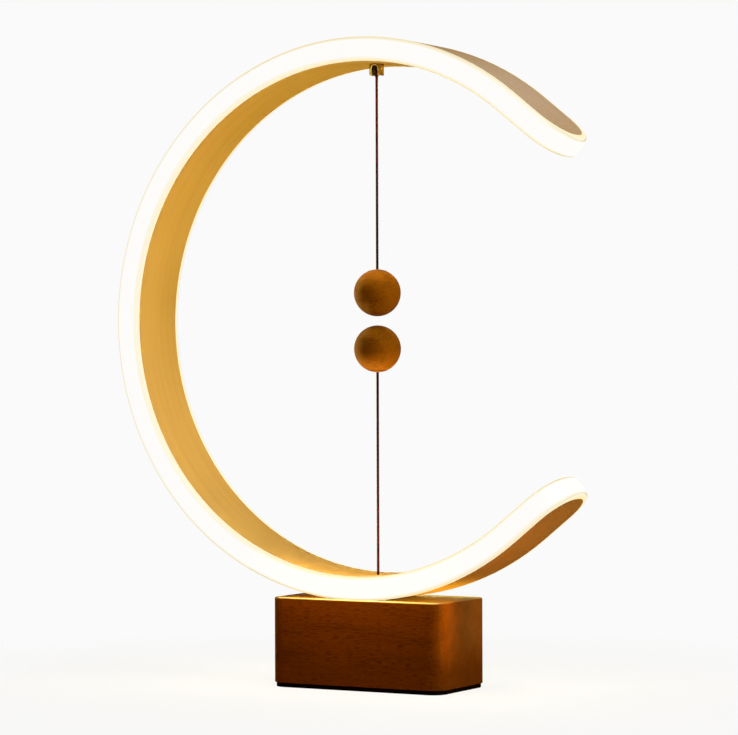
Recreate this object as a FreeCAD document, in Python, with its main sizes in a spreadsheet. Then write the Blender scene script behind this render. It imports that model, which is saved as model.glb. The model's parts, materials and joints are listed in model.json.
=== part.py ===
import FreeCAD
import Part
import Sketcher
import math
import os

# Magnetic balance lamp, in millimetres, +Z up. The origin is the centre of the underside. A C-shaped ring
# stands on a wooden box and opens towards +X. One ball hangs from its top, the other stands on a cord over
# the bottom, held up by magnets, and its cord works the pull switch inside the box.

doc = FreeCAD.newDocument("MagneticBalanceLamp")

# ---------------------------------------------------------------- driving dimensions

SIZES = [
    # Box
    ("base_width", 119.0),
    ("base_depth", 63.0),
    ("base_height", 52.0),
    ("base_corner_radius", 10.0),
    ("base_edge_radius", 0.8),
    ("base_wall", 6.0),
    ("base_roof", 8.0),
    ("post_diameter", 12.0),
    ("plate_thickness", 2.0),
    ("plate_ledge", 3.0),
    ("plate_gap", 0.2),
    ("mat_thickness", 2.8),
    ("mat_inset", 1.0),
    # Ring: a broad strip bent into a C, with straight rounded tips
    ("ring_outer_radius", 171.5),
    ("ring_thickness", 14.6),
    ("ring_depth", 51.0),
    ("ring_offset", 4.0),
    ("ring_sink", 0.8),
    ("tip_angle", 51.0),
    ("tip_length", 45.0),
    ("tip_flat", 4.0),
    ("strip_thickness", 1.6),
    ("rim_lip", 4.6),
    ("rim_corner_radius", 3.1),
    ("lens_wall", 2.2),
    ("lens_leg", 1.5),
    ("light_chamber", 8.0),
    ("glue_gap", 0.05),
    ("led_board_width", 8.0),
    ("led_board_thickness", 1.0),
    ("led_side", 3.0),
    ("led_height", 0.8),
    ("led_spacing", 15.0),
    # Balls, cords and magnets
    ("ball_diameter", 28.8),
    ("ball_gap", 5.6),
    ("gap_drop", 1.0),
    ("plug_diameter", 11.0),
    ("plug_length", 7.0),
    ("ball_floor", 2.5),
    ("magnet_length", 10.0),
    ("plug_fit", 0.05),
    ("cord_diameter", 1.6),
    ("cord_hole_diameter", 2.8),
    ("cord_fit", 0.1),
    ("knot_diameter", 4.0),
    ("flex_gap", 0.1),
    # Hook block under the top of the ring
    ("hook_width", 7.0),
    ("hook_depth", 5.6),
    ("hook_height", 7.2),
    ("hook_spigot_diameter", 4.0),
    ("hook_spigot_length", 6.0),
    ("slot_width", 4.8),
    ("slot_height", 6.3),
    ("pin_diameter", 1.6),
    ("loop_fit", 0.08),
    ("loop_cord_diameter", 1.2),
    ("bead_diameter", 3.0),
    # Pull switch
    ("switch_travel", 2.5),
    ("foot_length", 3.4),
    ("foot_clearance", 1.0),
    ("switch_width", 15.0),
    ("switch_depth", 17.0),
    ("switch_height", 20.0),
    ("switch_wall", 1.5),
    ("switch_lip", 2.0),
    ("switch_ear", 7.0),
    ("switch_ear_thickness", 2.5),
    ("stem_diameter", 5.0),
    ("stem_fit", 0.08),
    ("stem_spare", 0.5),
    ("stem_room", 0.6),
    ("disc_diameter", 10.0),
    ("disc_thickness", 2.0),
    ("spring_length", 6.2),
    ("spring_wire", 0.5),
    ("spring_diameter", 7.0),
    ("spring_turns", 4.0),
    ("contact_thickness", 0.4),
    ("contact_width", 4.0),
    ("contact_gap", 0.3),
    ("contact_reach", 2.8),
    ("contact_tag", 3.0),
    # Electrics and weight
    ("ballast_end_gap", 3.5),
    ("ballast_shift", 6.0),
    ("ballast_margin", 2.0),
    ("ballast_post_gap", 1.0),
    ("ballast_switch_gap", 1.5),
    ("board_width", 34.0),
    ("board_depth", 22.0),
    ("board_thickness", 1.6),
    ("board_rise", 5.0),
    ("standoff_diameter", 6.0),
    ("socket_width", 9.0),
    ("socket_height", 3.2),
    ("socket_length", 7.4),
    ("socket_wall", 0.3),
    ("chip_side", 5.0),
    ("chip_height", 1.2),
    ("coil_height", 3.0),
    ("can_height", 6.0),
    ("recess_width", 13.0),
    ("recess_height", 7.0),
    ("recess_depth", 4.5),
    ("wire_diameter", 1.8),
    ("wire_hole_diameter", 2.6),
    ("wire_spread", 10.0),
    ("wire_ballast_gap", 1.3),
    ("wire_bend_radius", 4.0),
    # Screws
    ("ring_screw_diameter", 4.0),
    ("ring_screw_length", 15.0),
    ("ring_screw_spread", 16.0),
    ("bottom_screw_diameter", 3.0),
    ("bottom_screw_length", 14.0),
    ("board_screw_diameter", 2.0),
    ("board_screw_length", 5.0),
    ("switch_screw_diameter", 2.5),
    ("switch_screw_length", 8.0),
    ("ballast_screw_diameter", 3.0),
    ("ballast_screw_length", 8.0),
    ("screw_head_ratio", 1.8),
    ("screw_head_height_ratio", 0.6),
    ("screw_fit", 0.1),
]

# Heights, radii and places that follow from the sizes above
LEVELS = [
    ("plate_bottom", "Sizes.mat_thickness"),
    ("plate_top", "plate_bottom + Sizes.plate_thickness"),
    ("base_top", "Sizes.mat_thickness + Sizes.base_height"),
    ("roof_under", "base_top - Sizes.base_roof"),
    ("cavity_width", "Sizes.base_width - 2 * Sizes.base_wall"),
    ("cavity_depth", "Sizes.base_depth - 2 * Sizes.base_wall"),
    ("post_x", "cavity_width / 2 - Sizes.post_diameter / 3"),
    ("post_y", "cavity_depth / 2 - Sizes.post_diameter / 3"),
    ("plate_width", "cavity_width + 2 * Sizes.plate_ledge"),
    ("plate_depth", "cavity_depth + 2 * Sizes.plate_ledge"),
    ("plate_corner", "Sizes.base_corner_radius - Sizes.base_wall + Sizes.plate_ledge"),
    ("ring_x", "-Sizes.ring_offset"),
    ("ring_z", "base_top - Sizes.ring_sink + Sizes.ring_outer_radius"),
    ("ring_inner_radius", "Sizes.ring_outer_radius - Sizes.ring_thickness"),
    ("ring_mid_radius", "Sizes.ring_outer_radius - Sizes.ring_thickness / 2"),
    ("core_inner", "ring_inner_radius + Sizes.strip_thickness"),
    ("core_outer", "Sizes.ring_outer_radius - Sizes.strip_thickness"),
    ("core_inset", "Sizes.rim_lip + Sizes.light_chamber"),
    ("core_half_depth", "Sizes.ring_depth / 2 - core_inset"),
    ("inner_reach", "sqrt(ring_inner_radius ^ 2 - Sizes.ring_offset ^ 2)"),
    ("inner_top", "ring_z + inner_reach"),
    ("inner_bottom", "ring_z - inner_reach"),
    ("hook_under", "inner_top - Sizes.hook_height"),
    ("pin_z", "hook_under + Sizes.slot_height - Sizes.slot_width / 2"),
    ("loop_radius", "Sizes.pin_diameter / 2 + Sizes.loop_fit + Sizes.loop_cord_diameter / 2"),
    ("bead_z", "pin_z - loop_radius - Sizes.bead_diameter / 2"),
    ("cord_socket_radius", "Sizes.cord_diameter / 2 + Sizes.flex_gap"),
    ("upper_flex_z", "bead_z - Sizes.bead_diameter / 2 - Sizes.cord_diameter / 4"),
    ("gap_z", "ring_z - Sizes.gap_drop"),
    ("ball_radius", "Sizes.ball_diameter / 2"),
    ("upper_ball_z", "gap_z + Sizes.ball_gap / 2 + ball_radius"),
    ("lower_ball_z", "gap_z - Sizes.ball_gap / 2 - ball_radius"),
    ("pocket_length", "Sizes.ball_diameter - Sizes.ball_floor"),
    ("hinge_low_z", "inner_bottom + Sizes.switch_travel + Sizes.foot_clearance"),
    ("hinge_high_z", "hinge_low_z + Sizes.foot_length"),
    ("ear_under", "roof_under - Sizes.switch_ear_thickness"),
    ("switch_bottom", "roof_under - Sizes.switch_height"),
    ("disc_top", "roof_under - Sizes.switch_wall - Sizes.spring_length"),
    ("disc_bottom", "disc_top - Sizes.disc_thickness"),
    ("stem_top", "roof_under + Sizes.switch_travel + Sizes.stem_spare"),
    ("board_bottom", "plate_top + Sizes.board_rise"),
    ("board_top", "board_bottom + Sizes.board_thickness"),
    ("recess_floor_y", "Sizes.base_depth / 2 - Sizes.recess_depth"),
    ("board_y", "cavity_depth / 2 - Sizes.ballast_margin - Sizes.board_depth / 2"),
    ("board_front_y", "board_y - Sizes.board_depth / 2"),
    ("standoff_x", "Sizes.board_width / 2 - Sizes.standoff_diameter / 2"),
    ("standoff_y", "Sizes.board_depth / 2 - Sizes.standoff_diameter / 2"),
    ("socket_z", "board_top + Sizes.socket_height / 2"),
    ("ballast_length", "cavity_width - 2 * Sizes.ballast_end_gap - 2 * Sizes.ballast_shift"),
    ("ballast_back_y", "board_front_y - Sizes.ballast_margin"),
    ("ballast_front_y", "Sizes.post_diameter / 2 + Sizes.ballast_post_gap - post_y"),
    ("ballast_y", "(ballast_front_y + ballast_back_y) / 2"),
    ("tag_bottom", "switch_bottom - Sizes.switch_wall - Sizes.contact_tag"),
    ("ballast_top", "tag_bottom - Sizes.ballast_switch_gap"),
    ("wire_run_height", "ballast_top + Sizes.wire_ballast_gap + Sizes.wire_diameter / 2"),
    ("chamber_y", "core_half_depth + Sizes.light_chamber / 2"),
]

sheet = doc.addObject("Spreadsheet::Sheet", "Sizes")
for row, (name, value) in enumerate(SIZES, start=1):
    sheet.set("A%d" % row, name)
    sheet.set("B%d" % row, str(value))
    sheet.setAlias("B%d" % row, name)

levels = doc.addObject("Spreadsheet::Sheet", "Levels")
for row, (name, formula) in enumerate(LEVELS, start=1):
    levels.set("A%d" % row, name)
    levels.set("B%d" % row, "=" + formula)
    levels.setAlias("B%d" % row, name)
doc.recompute()

LEVEL_NAMES = [name for name, formula in LEVELS]


def size(name):
    """A number from the Sizes sheet or the Levels sheet."""
    source = levels if name in LEVEL_NAMES else sheet
    return float(source.get(name))


def bind(item, **expressions):
    """Ties properties to expressions. A double underscore in a name stands for a dot."""
    for name, expression in expressions.items():
        item.setExpression(name.replace("__", "."), expression)
    return item


def place(item, x="0", y="0", z="0"):
    """Ties the place of an item to three expressions."""
    return bind(item, Placement__Base__x=x, Placement__Base__y=y, Placement__Base__z=z)


# ---------------------------------------------------------------- building blocks

TURN_TO_X = FreeCAD.Rotation(FreeCAD.Vector(0, 1, 0), 90)
TURN_TO_Y = FreeCAD.Rotation(FreeCAD.Vector(1, 0, 0), -90)


def box(label, width, depth, height, x="0", y="0", z="0"):
    """A box centred on x and y, standing on z."""
    item = doc.addObject("Part::Box", label)
    bind(item, Length=width, Width=depth, Height=height)
    return place(item, x="%s - (%s) / 2" % (x, width), y="%s - (%s) / 2" % (y, depth), z=z)


def cylinder(label, diameter, length, x="0", y="0", z="0", rotation=None):
    """A cylinder along +Z from its place, or along another axis when it is turned."""
    item = doc.addObject("Part::Cylinder", label)
    if rotation is not None:
        item.Placement = FreeCAD.Placement(FreeCAD.Vector(0, 0, 0), rotation)
    bind(item, Radius="(%s) / 2" % diameter, Height=length)
    return place(item, x, y, z)


def cross_cylinder(label, diameter, length, axis, x="0", y="0", z="0"):
    """A cylinder that lies along X or Y, with its middle at the place."""
    if axis == "X":
        return cylinder(label, diameter, length, "%s - (%s) / 2" % (x, length), y, z, TURN_TO_X)
    return cylinder(label, diameter, length, x, "%s - (%s) / 2" % (y, length), z, TURN_TO_Y)


def sphere(label, diameter, x="0", y="0", z="0"):
    item = doc.addObject("Part::Sphere", label)
    bind(item, Radius="(%s) / 2" % diameter)
    return place(item, x, y, z)


def fuse(label, pieces):
    item = doc.addObject("Part::MultiFuse", label)
    item.Shapes = pieces
    item.Refine = True
    return item


def cut(label, base, tools):
    item = doc.addObject("Part::Cut", label)
    item.Base = base
    item.Tool = tools[0] if len(tools) == 1 else fuse(label + "_tools", tools)
    return item


def common(label, base, tool):
    item = doc.addObject("Part::Common", label)
    item.Base = base
    item.Tool = tool
    return item


def group(label, pieces):
    """Separate solids kept together as one node."""
    item = doc.addObject("Part::Compound", label)
    item.Links = pieces
    return item


def sketch_on(body, role, label):
    sketch = body.newObject("Sketcher::SketchObject", label)
    plane = [part for part in body.Origin.OriginFeatures if part.Role == role][0]
    sketch.AttachmentSupport = [(plane, "")]
    sketch.MapMode = "FlatFace"
    return sketch


def constrain(sketch, kind, *values, expression=None):
    index = sketch.addConstraint(Sketcher.Constraint(kind, *values))
    if expression is not None:
        sketch.setExpression("Constraints[%d]" % index, expression)


def edge_names(shape, wanted):
    """Names of the edges for which wanted(edge) is true."""
    return ["Edge%d" % number for number, edge in enumerate(shape.Edges, start=1) if wanted(edge)]


def round_edges(body, label, base, wanted, radius):
    """A fillet on the chosen edges of the body's last feature."""
    doc.recompute()
    fillet = body.newObject("PartDesign::Fillet", label)
    fillet.Base = (base, edge_names(base.Shape, wanted))
    fillet.setExpression("Radius", radius)
    return fillet


START, END, CENTRE = 1, 2, 3
SAME_PLACE, SAME_LENGTH = 1e-6, 1e-4
ORIGIN = (-1, 1)


def value_of(expression):
    """Works out an expression over the two sheets, for a sketch's first guess."""
    return float(sheet.evalExpression(expression))


def rounded_block(label, width, depth, radius, height, z, top_radius=None):
    """An upright block with rounded corners, centred on the origin, as a padded sketch."""
    body = doc.addObject("PartDesign::Body", label)
    place(body, z=z)
    sketch = sketch_on(body, "XY_Plane", label + "_outline")
    half_x = value_of(width) / 2
    half_y = value_of(depth) / 2
    corners = [(-half_x, -half_y), (half_x, -half_y), (half_x, half_y), (-half_x, half_y)]
    for number in range(4):
        first = FreeCAD.Vector(*corners[number], 0)
        second = FreeCAD.Vector(*corners[(number + 1) % 4], 0)
        sketch.addGeometry(Part.LineSegment(first, second))
    for number in range(4):
        constrain(sketch, "Coincident", number, END, (number + 1) % 4, START)
    constrain(sketch, "Horizontal", 0)
    constrain(sketch, "Horizontal", 2)
    constrain(sketch, "Vertical", 1)
    constrain(sketch, "Vertical", 3)
    constrain(sketch, "Symmetric", 0, START, 1, END, *ORIGIN)
    constrain(sketch, "DistanceX", 0, START, 0, END, 2 * half_x, expression=width)
    constrain(sketch, "DistanceY", 1, START, 1, END, 2 * half_y, expression=depth)
    pad = body.newObject("PartDesign::Pad", label + "_pad")
    pad.Profile = sketch
    pad.setExpression("Length", height)

    def upright(edge):
        ends = edge.Vertexes
        return len(ends) == 2 and abs(ends[0].Z - ends[1].Z) > SAME_PLACE

    last = round_edges(body, label + "_corners", pad, upright, radius)
    if top_radius is not None:
        top = value_of(height)

        def on_top(edge):
            return all(abs(vertex.Z - top) < SAME_PLACE for vertex in edge.Vertexes)

        round_edges(body, label + "_top", last, on_top, top_radius)
    return body


def ring_band(label, inner, outer, inset, rim_radius=None, depth=None):
    """One layer of the bent strip: a C between two radii, drawn in from the rim by the inset.

    The C is an arc that opens towards +X and runs on into two straight tips. Its tips are rounded in
    the plane of the strip, and its outer and inner edges are rounded too when a rim radius is given.
    With a depth it is a flat C with square ends instead.
    """
    body = doc.addObject("PartDesign::Body", label)
    sketch = sketch_on(body, "XZ_Plane", label + "_profile")
    centre = FreeCAD.Vector(size("ring_x"), size("ring_z"), 0)
    angle = math.radians(size("tip_angle"))
    length = size("tip_length") - value_of(inset)
    radii = [value_of(outer), value_of(inner)]
    for radius in radii:
        circle = Part.Circle(centre, FreeCAD.Vector(0, 0, 1), radius)
        sketch.addGeometry(Part.ArcOfCircle(circle, angle, 2 * math.pi - angle))
    tips = {}
    for side in (1, -1):
        for radius in radii:
            spoke = FreeCAD.Vector(math.cos(angle), side * math.sin(angle), 0)
            along = FreeCAD.Vector(math.sin(angle), -side * math.cos(angle), 0)
            start = centre + spoke * radius
            tips[side, radius] = start + along * length
            sketch.addGeometry(Part.LineSegment(start, tips[side, radius]))
    for side in (1, -1):
        sketch.addGeometry(Part.LineSegment(tips[side, radii[0]], tips[side, radii[1]]))

    outer_arc, inner_arc, top_outer, top_inner, low_outer, low_inner, top_end, low_end = range(8)
    constrain(sketch, "Coincident", inner_arc, CENTRE, outer_arc, CENTRE)
    constrain(sketch, "DistanceX", *ORIGIN, outer_arc, CENTRE, centre.x, expression="Levels.ring_x")
    constrain(sketch, "DistanceY", *ORIGIN, outer_arc, CENTRE, centre.y, expression="Levels.ring_z")
    constrain(sketch, "Radius", outer_arc, radii[0], expression=outer)
    constrain(sketch, "Radius", inner_arc, radii[1], expression=inner)
    constrain(sketch, "Tangent", outer_arc, START, top_outer, START)
    constrain(sketch, "Tangent", inner_arc, START, top_inner, START)
    constrain(sketch, "Tangent", outer_arc, END, low_outer, START)
    constrain(sketch, "Tangent", inner_arc, END, low_inner, START)
    for end, first, second in ((top_end, top_outer, top_inner), (low_end, low_outer, low_inner)):
        constrain(sketch, "Coincident", first, END, end, START)
        constrain(sketch, "Coincident", second, END, end, END)
        constrain(sketch, "Perpendicular", first, end)
        constrain(sketch, "Parallel", first, second)
    constrain(sketch, "Angle", top_outer, angle - math.pi / 2, expression="Sizes.tip_angle - 90")
    constrain(sketch, "Angle", low_outer, math.pi / 2 - angle, expression="90 - Sizes.tip_angle")
    constrain(sketch, "Distance", top_outer, length, expression="Sizes.tip_length - (%s)" % inset)
    constrain(sketch, "Equal", top_outer, low_outer)

    pad = body.newObject("PartDesign::Pad", label + "_pad")
    pad.Profile = sketch
    pad.SideType = "Symmetric"
    if depth is not None:
        pad.setExpression("Length", depth)
        return body
    pad.setExpression("Length", "Sizes.ring_depth - 2 * (%s)" % inset)
    thickness = radii[0] - radii[1]

    def tip_corner(edge):
        ends = edge.Vertexes
        if len(ends) != 2 or abs(edge.Length - thickness) > SAME_LENGTH:
            return False
        return abs(ends[0].Y - ends[1].Y) < SAME_PLACE and ends[0].X > 0

    corner = "(Sizes.ring_depth - Sizes.tip_flat) / 2 - (%s)" % inset
    last = round_edges(body, label + "_tips", pad, tip_corner, corner)
    if rim_radius is not None:

        def on_rim(edge):
            return abs(edge.Length - thickness) > SAME_LENGTH

        round_edges(body, label + "_rim", last, on_rim, rim_radius)
    return body


def screws(label, screw, places, direction, flat=False):
    """A set of screws as one node. Each place is where the head's seat lies on the axis.

    A pan head stands on the seat. A flat head lies under it, with its top flush with the seat.
    """
    diameter = "Sizes.%s_screw_diameter" % screw
    length = "Sizes.%s_screw_length" % screw
    pieces = []
    for number, (x, y, z) in enumerate(places, start=1):
        name = "%s_%d" % (label, number)
        shank_z = z if direction == "up" else "%s - %s" % (z, length)
        shank = cylinder(name + "_shank", diameter, length, x, y, shank_z)
        if flat:
            head = flat_head(name, diameter, x, y, z)
        else:
            head = pan_head(name, diameter, x, y, z, direction)
        pieces.append(fuse(name, [shank, head]))
    return group(label, pieces)


def pan_head(name, diameter, x, y, z, direction):
    height = "%s * Sizes.screw_head_height_ratio" % diameter
    head_z = "%s - %s" % (z, height) if direction == "up" else z
    return cylinder(name + "_head", "%s * Sizes.screw_head_ratio" % diameter, height, x, y, head_z)


def flat_head(name, diameter, x, y, z, fit="0"):
    """A cone that narrows upwards from the seat to the shank."""
    head = doc.addObject("Part::Cone", name + "_head")
    bind(
        head,
        Radius1="%s * Sizes.screw_head_ratio / 2 + (%s)" % (diameter, fit),
        Radius2="%s / 2 + (%s)" % (diameter, fit),
        Height="%s * Sizes.screw_head_height_ratio" % diameter,
    )
    return place(head, x, y, z)


def screw_holes(label, screw, places, direction, flat=False):
    """Holes for a set of screws, with the screw fit all round."""
    diameter = "Sizes.%s_screw_diameter" % screw
    length = "Sizes.%s_screw_length + Sizes.screw_fit" % screw
    holes = []
    for number, (x, y, z) in enumerate(places, start=1):
        name = "%s_%d" % (label, number)
        bottom = z if direction == "up" else "%s - (%s)" % (z, length)
        holes.append(cylinder(name, "%s + 2 * Sizes.screw_fit" % diameter, length, x, y, bottom))
        if flat:
            holes.append(flat_head(name, diameter, x, y, z, "Sizes.screw_fit"))
    return holes


# ---------------------------------------------------------------- places that several pieces share

RING_SCREW_PLACES = [
    ("Levels.ring_x + %s Sizes.ring_screw_spread" % sign, "0", "Levels.roof_under") for sign in ("-", "+")
]
SWITCH_SCREW_PLACES = [
    ("0", "%s(Sizes.switch_depth + Sizes.switch_ear) / 2" % side, "Levels.ear_under")
    for side in ("-", "")
]
POST_PLACES = [
    ("%sLevels.post_x" % x_sign, "%sLevels.post_y" % y_sign, "Levels.plate_bottom")
    for x_sign in ("-", "")
    for y_sign in ("-", "")
]
BALLAST_SCREW_PLACES = [
    ("Sizes.ballast_shift %s Levels.ballast_length / 4" % sign, "Levels.ballast_y", "Levels.plate_bottom")
    for sign in ("-", "+")
]
STANDOFF_PLACES = [
    ("%sLevels.standoff_x" % x_sign, "Levels.board_y %s Levels.standoff_y" % y_sign, "Levels.board_top")
    for x_sign in ("-", "")
    for y_sign in ("-", "+")
]
WIRE_PLACES = {
    "led_wire_front": ("Sizes.wire_spread", "-Levels.chamber_y"),
    "led_wire_back": ("-Sizes.wire_spread", "Levels.chamber_y"),
}


def cord_hole(label, z, length):
    return cylinder(label, "Sizes.cord_hole_diameter", length, z=z)


def wire_holes(label, bottom, length):
    return [
        cylinder("%s_%d" % (label, number), "Sizes.wire_hole_diameter", length, x, y, bottom)
        for number, (x, y) in enumerate(WIRE_PLACES.values(), start=1)
    ]


def spigot_hole(label):
    """A blind hole up into the ring, from below its inner face, for the spigot of the hook block."""
    diameter = "Sizes.hook_spigot_diameter + 2 * Sizes.plug_fit"
    length = "2 * Sizes.hook_spigot_length + Sizes.plug_fit"
    return cylinder(label, diameter, length, z="Levels.inner_top - Sizes.hook_spigot_length")


# ---------------------------------------------------------------- box


def make_base_body():
    """The hollow wooden box: rounded upright corners, open below, with a hollow seat for the ring."""
    outside = rounded_block(
        "base_outside", "Sizes.base_width", "Sizes.base_depth", "Sizes.base_corner_radius",
        "Sizes.base_height", "Sizes.mat_thickness", "Sizes.base_edge_radius",
    )
    hollow = rounded_block(
        "base_hollow", "Levels.cavity_width", "Levels.cavity_depth",
        "Sizes.base_corner_radius - Sizes.base_wall",
        "Levels.roof_under - Levels.plate_bottom", "Levels.plate_bottom",
    )
    posts = [
        cylinder("post_%d" % number, "Sizes.post_diameter", "Sizes.base_height", x, y, z)
        for number, (x, y, z) in enumerate(POST_PLACES, start=1)
    ]
    rebate = rounded_block(
        "plate_rebate", "Levels.plate_width + 2 * Sizes.plate_gap", "Levels.plate_depth + 2 * Sizes.plate_gap",
        "Levels.plate_corner + Sizes.plate_gap", "Sizes.plate_thickness", "Levels.plate_bottom",
    )
    seat = cross_cylinder(
        "ring_seat", "2 * Sizes.ring_outer_radius", "Sizes.ring_depth + 2 * Sizes.plate_gap", "Y",
        "Levels.ring_x", "0", "Levels.ring_z",
    )
    recess = box(
        "plug_recess", "Sizes.recess_width", "2 * Sizes.recess_depth", "Sizes.recess_height",
        "0", "Sizes.base_depth / 2", "Levels.socket_z - Sizes.recess_height / 2",
    )
    window = box(
        "socket_window", "Sizes.socket_width + 2 * Sizes.plate_gap", "2 * Sizes.base_wall",
        "Sizes.socket_height + 2 * Sizes.plate_gap", "0", "Sizes.base_depth / 2 - Sizes.base_wall",
        "Levels.board_top - Sizes.plate_gap",
    )
    stem_pocket = cylinder(
        "stem_pocket", "Sizes.stem_diameter + 2 * Sizes.stem_room",
        "Levels.stem_top + Sizes.stem_room - Levels.roof_under", z="Levels.roof_under",
    )
    tools = [cut("base_cavity", hollow, posts), rebate, seat, recess, window, stem_pocket]
    tools.append(cord_hole("base_cord_hole", "Levels.roof_under", "2 * Sizes.base_roof"))
    tools += wire_holes("base_wire_hole", "Levels.roof_under", "2 * Sizes.base_roof")
    tools += screw_holes("base_ring_screw_hole", "ring", RING_SCREW_PLACES, "up")
    tools += screw_holes("base_post_hole", "bottom", POST_PLACES, "up")
    switch_seats = [(x, y, "Levels.roof_under") for x, y, z in SWITCH_SCREW_PLACES]
    tools += screw_holes("base_switch_screw_hole", "switch", switch_seats, "up")
    return cut("base_body", outside, tools)


def make_bottom_plate():
    """The plate that closes the box, with the standoffs of the control board on it."""
    plate = rounded_block(
        "plate_blank", "Levels.plate_width", "Levels.plate_depth", "Levels.plate_corner",
        "Sizes.plate_thickness", "Levels.plate_bottom",
    )
    rise = "Sizes.board_rise"
    standoffs = [
        cylinder("standoff_%d" % number, "Sizes.standoff_diameter", rise, x, y, "Levels.plate_top")
        for number, (x, y, z) in enumerate(STANDOFF_PLACES, start=1)
    ]
    holes = screw_holes("plate_post_hole", "bottom", POST_PLACES, "up", flat=True)
    holes += screw_holes("plate_ballast_hole", "ballast", BALLAST_SCREW_PLACES, "up", flat=True)
    holes += screw_holes("standoff_hole", "board", STANDOFF_PLACES, "down")
    return cut("bottom_plate", fuse("plate_with_standoffs", [plate] + standoffs), holes)


def make_foot_mat():
    """The rubber mat under the plate, a little smaller than the box."""
    return rounded_block(
        "foot_mat", "Sizes.base_width - 2 * Sizes.mat_inset", "Sizes.base_depth - 2 * Sizes.mat_inset",
        "Sizes.base_corner_radius - Sizes.mat_inset", "Sizes.mat_thickness", "0",
    )


def make_ballast():
    block = box(
        "ballast_block", "Levels.ballast_length", "Levels.ballast_back_y - Levels.ballast_front_y",
        "Levels.ballast_top - Levels.plate_top", "Sizes.ballast_shift", "Levels.ballast_y", "Levels.plate_top",
    )
    return cut("ballast", block, screw_holes("ballast_hole", "ballast", BALLAST_SCREW_PLACES, "up"))


def make_control_board():
    board = box(
        "board_blank", "Sizes.board_width", "Sizes.board_depth", "Sizes.board_thickness",
        "0", "Levels.board_y", "Levels.board_bottom",
    )
    return cut("control_board", board, screw_holes("board_hole", "board", STANDOFF_PLACES, "down"))


def make_board_parts():
    """The coil, the driver chip and the capacitor on the board."""
    side = "Sizes.chip_side"
    seat = "Levels.board_top"
    coil = box("driver_coil", side, side, "Sizes.coil_height", "-" + side, "Levels.board_y", seat)
    chip = box("driver_chip", side, side, "Sizes.chip_height", side, "Levels.board_y", seat)
    can = cylinder("driver_capacitor", side, "Sizes.can_height", "0", "Levels.board_front_y + " + side, seat)
    return group("board_parts", [coil, chip, can])


def make_usb_socket():
    """The shell of the power socket, open towards the back, with its tongue."""
    socket_y = "Levels.recess_floor_y - Sizes.socket_length / 2"
    shell = box(
        "socket_shell", "Sizes.socket_width", "Sizes.socket_length", "Sizes.socket_height",
        "0", socket_y, "Levels.board_top",
    )
    mouth = box(
        "socket_mouth", "Sizes.socket_width - 2 * Sizes.socket_wall", "Sizes.socket_length",
        "Sizes.socket_height - 2 * Sizes.socket_wall", "0", "%s + Sizes.socket_wall" % socket_y,
        "Levels.board_top + Sizes.socket_wall",
    )
    tongue = box(
        "socket_tongue", "Sizes.socket_width / 2", "Sizes.socket_length - Sizes.socket_wall",
        "Sizes.socket_height / 4", "0", "%s - Sizes.socket_wall / 2" % socket_y,
        "Levels.socket_z - Sizes.socket_height / 8",
    )
    return fuse("usb_socket", [cut("socket_open_shell", shell, [mouth]), tongue])


# ---------------------------------------------------------------- pull switch


def make_switch_case():
    """An open-bottomed case with two ears, screwed up against the roof of the box."""
    case = box(
        "case_block", "Sizes.switch_width", "Sizes.switch_depth", "Sizes.switch_height",
        z="Levels.switch_bottom",
    )
    ears = box(
        "case_ears", "Sizes.switch_width", "Sizes.switch_depth + 2 * Sizes.switch_ear",
        "Sizes.switch_ear_thickness", z="Levels.ear_under",
    )
    room = box(
        "case_room", "Sizes.switch_width - 2 * Sizes.switch_wall", "Sizes.switch_depth - 2 * Sizes.switch_wall",
        "Sizes.switch_height - Sizes.switch_wall", z="Levels.switch_bottom",
    )
    bore = cylinder(
        "stem_bore", "Sizes.stem_diameter + 2 * Sizes.stem_fit", "Sizes.switch_height", z="Levels.switch_bottom"
    )
    holes = screw_holes("ear_hole", "switch", SWITCH_SCREW_PLACES, "up")
    return cut("switch_case", fuse("case_with_ears", [case, ears]), [room, bore] + holes)


def contact_boxes(label, side, spare):
    """A contact leaf that reaches over the plunger's disc, and its tag down the wall of the case."""
    wall_y = "(Sizes.switch_depth / 2 - Sizes.switch_wall)"
    leaf_y = "%s(%s - Sizes.contact_reach / 2)" % (side, wall_y)
    leaf_z = "Levels.disc_top + Sizes.contact_gap"
    width = "Sizes.contact_width + 2 * %s" % spare
    thickness = "(Sizes.contact_thickness + %s)" % spare
    tag_y = "%s(%s - %s / 2)" % (side, wall_y, thickness)
    tag_bottom = "Levels.tag_bottom"
    tag_height = "%s + Sizes.contact_thickness - %s" % (leaf_z, tag_bottom)
    leaf = box(label + "_leaf", width, "Sizes.contact_reach", "Sizes.contact_thickness", "0", leaf_y, leaf_z)
    tag = box(label + "_tag", width, thickness, tag_height, "0", tag_y, tag_bottom)
    return leaf, tag


def make_switch_contacts():
    pieces = []
    for number, side in enumerate(("-", ""), start=1):
        name = "contact_%d" % number
        pieces.append(fuse(name, list(contact_boxes(name, side, "0"))))
    return group("switch_contacts", pieces)


def make_switch_cap():
    """The lid under the case, with a lip inside it and slots for the two contact tags."""
    lid = box(
        "cap_lid", "Sizes.switch_width", "Sizes.switch_depth", "Sizes.switch_wall",
        z="Levels.switch_bottom - Sizes.switch_wall",
    )
    lip_margin = "2 * (Sizes.switch_wall + Sizes.cord_fit)"
    lip = box(
        "cap_lip", "Sizes.switch_width - " + lip_margin, "Sizes.switch_depth - " + lip_margin,
        "Sizes.switch_lip", z="Levels.switch_bottom",
    )
    slots = [
        contact_boxes("cap_slot_%d" % number, side, "Sizes.cord_fit")[1]
        for number, side in enumerate(("-", ""), start=1)
    ]
    return cut("switch_cap", fuse("cap_blank", [lid, lip]), slots)


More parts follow.
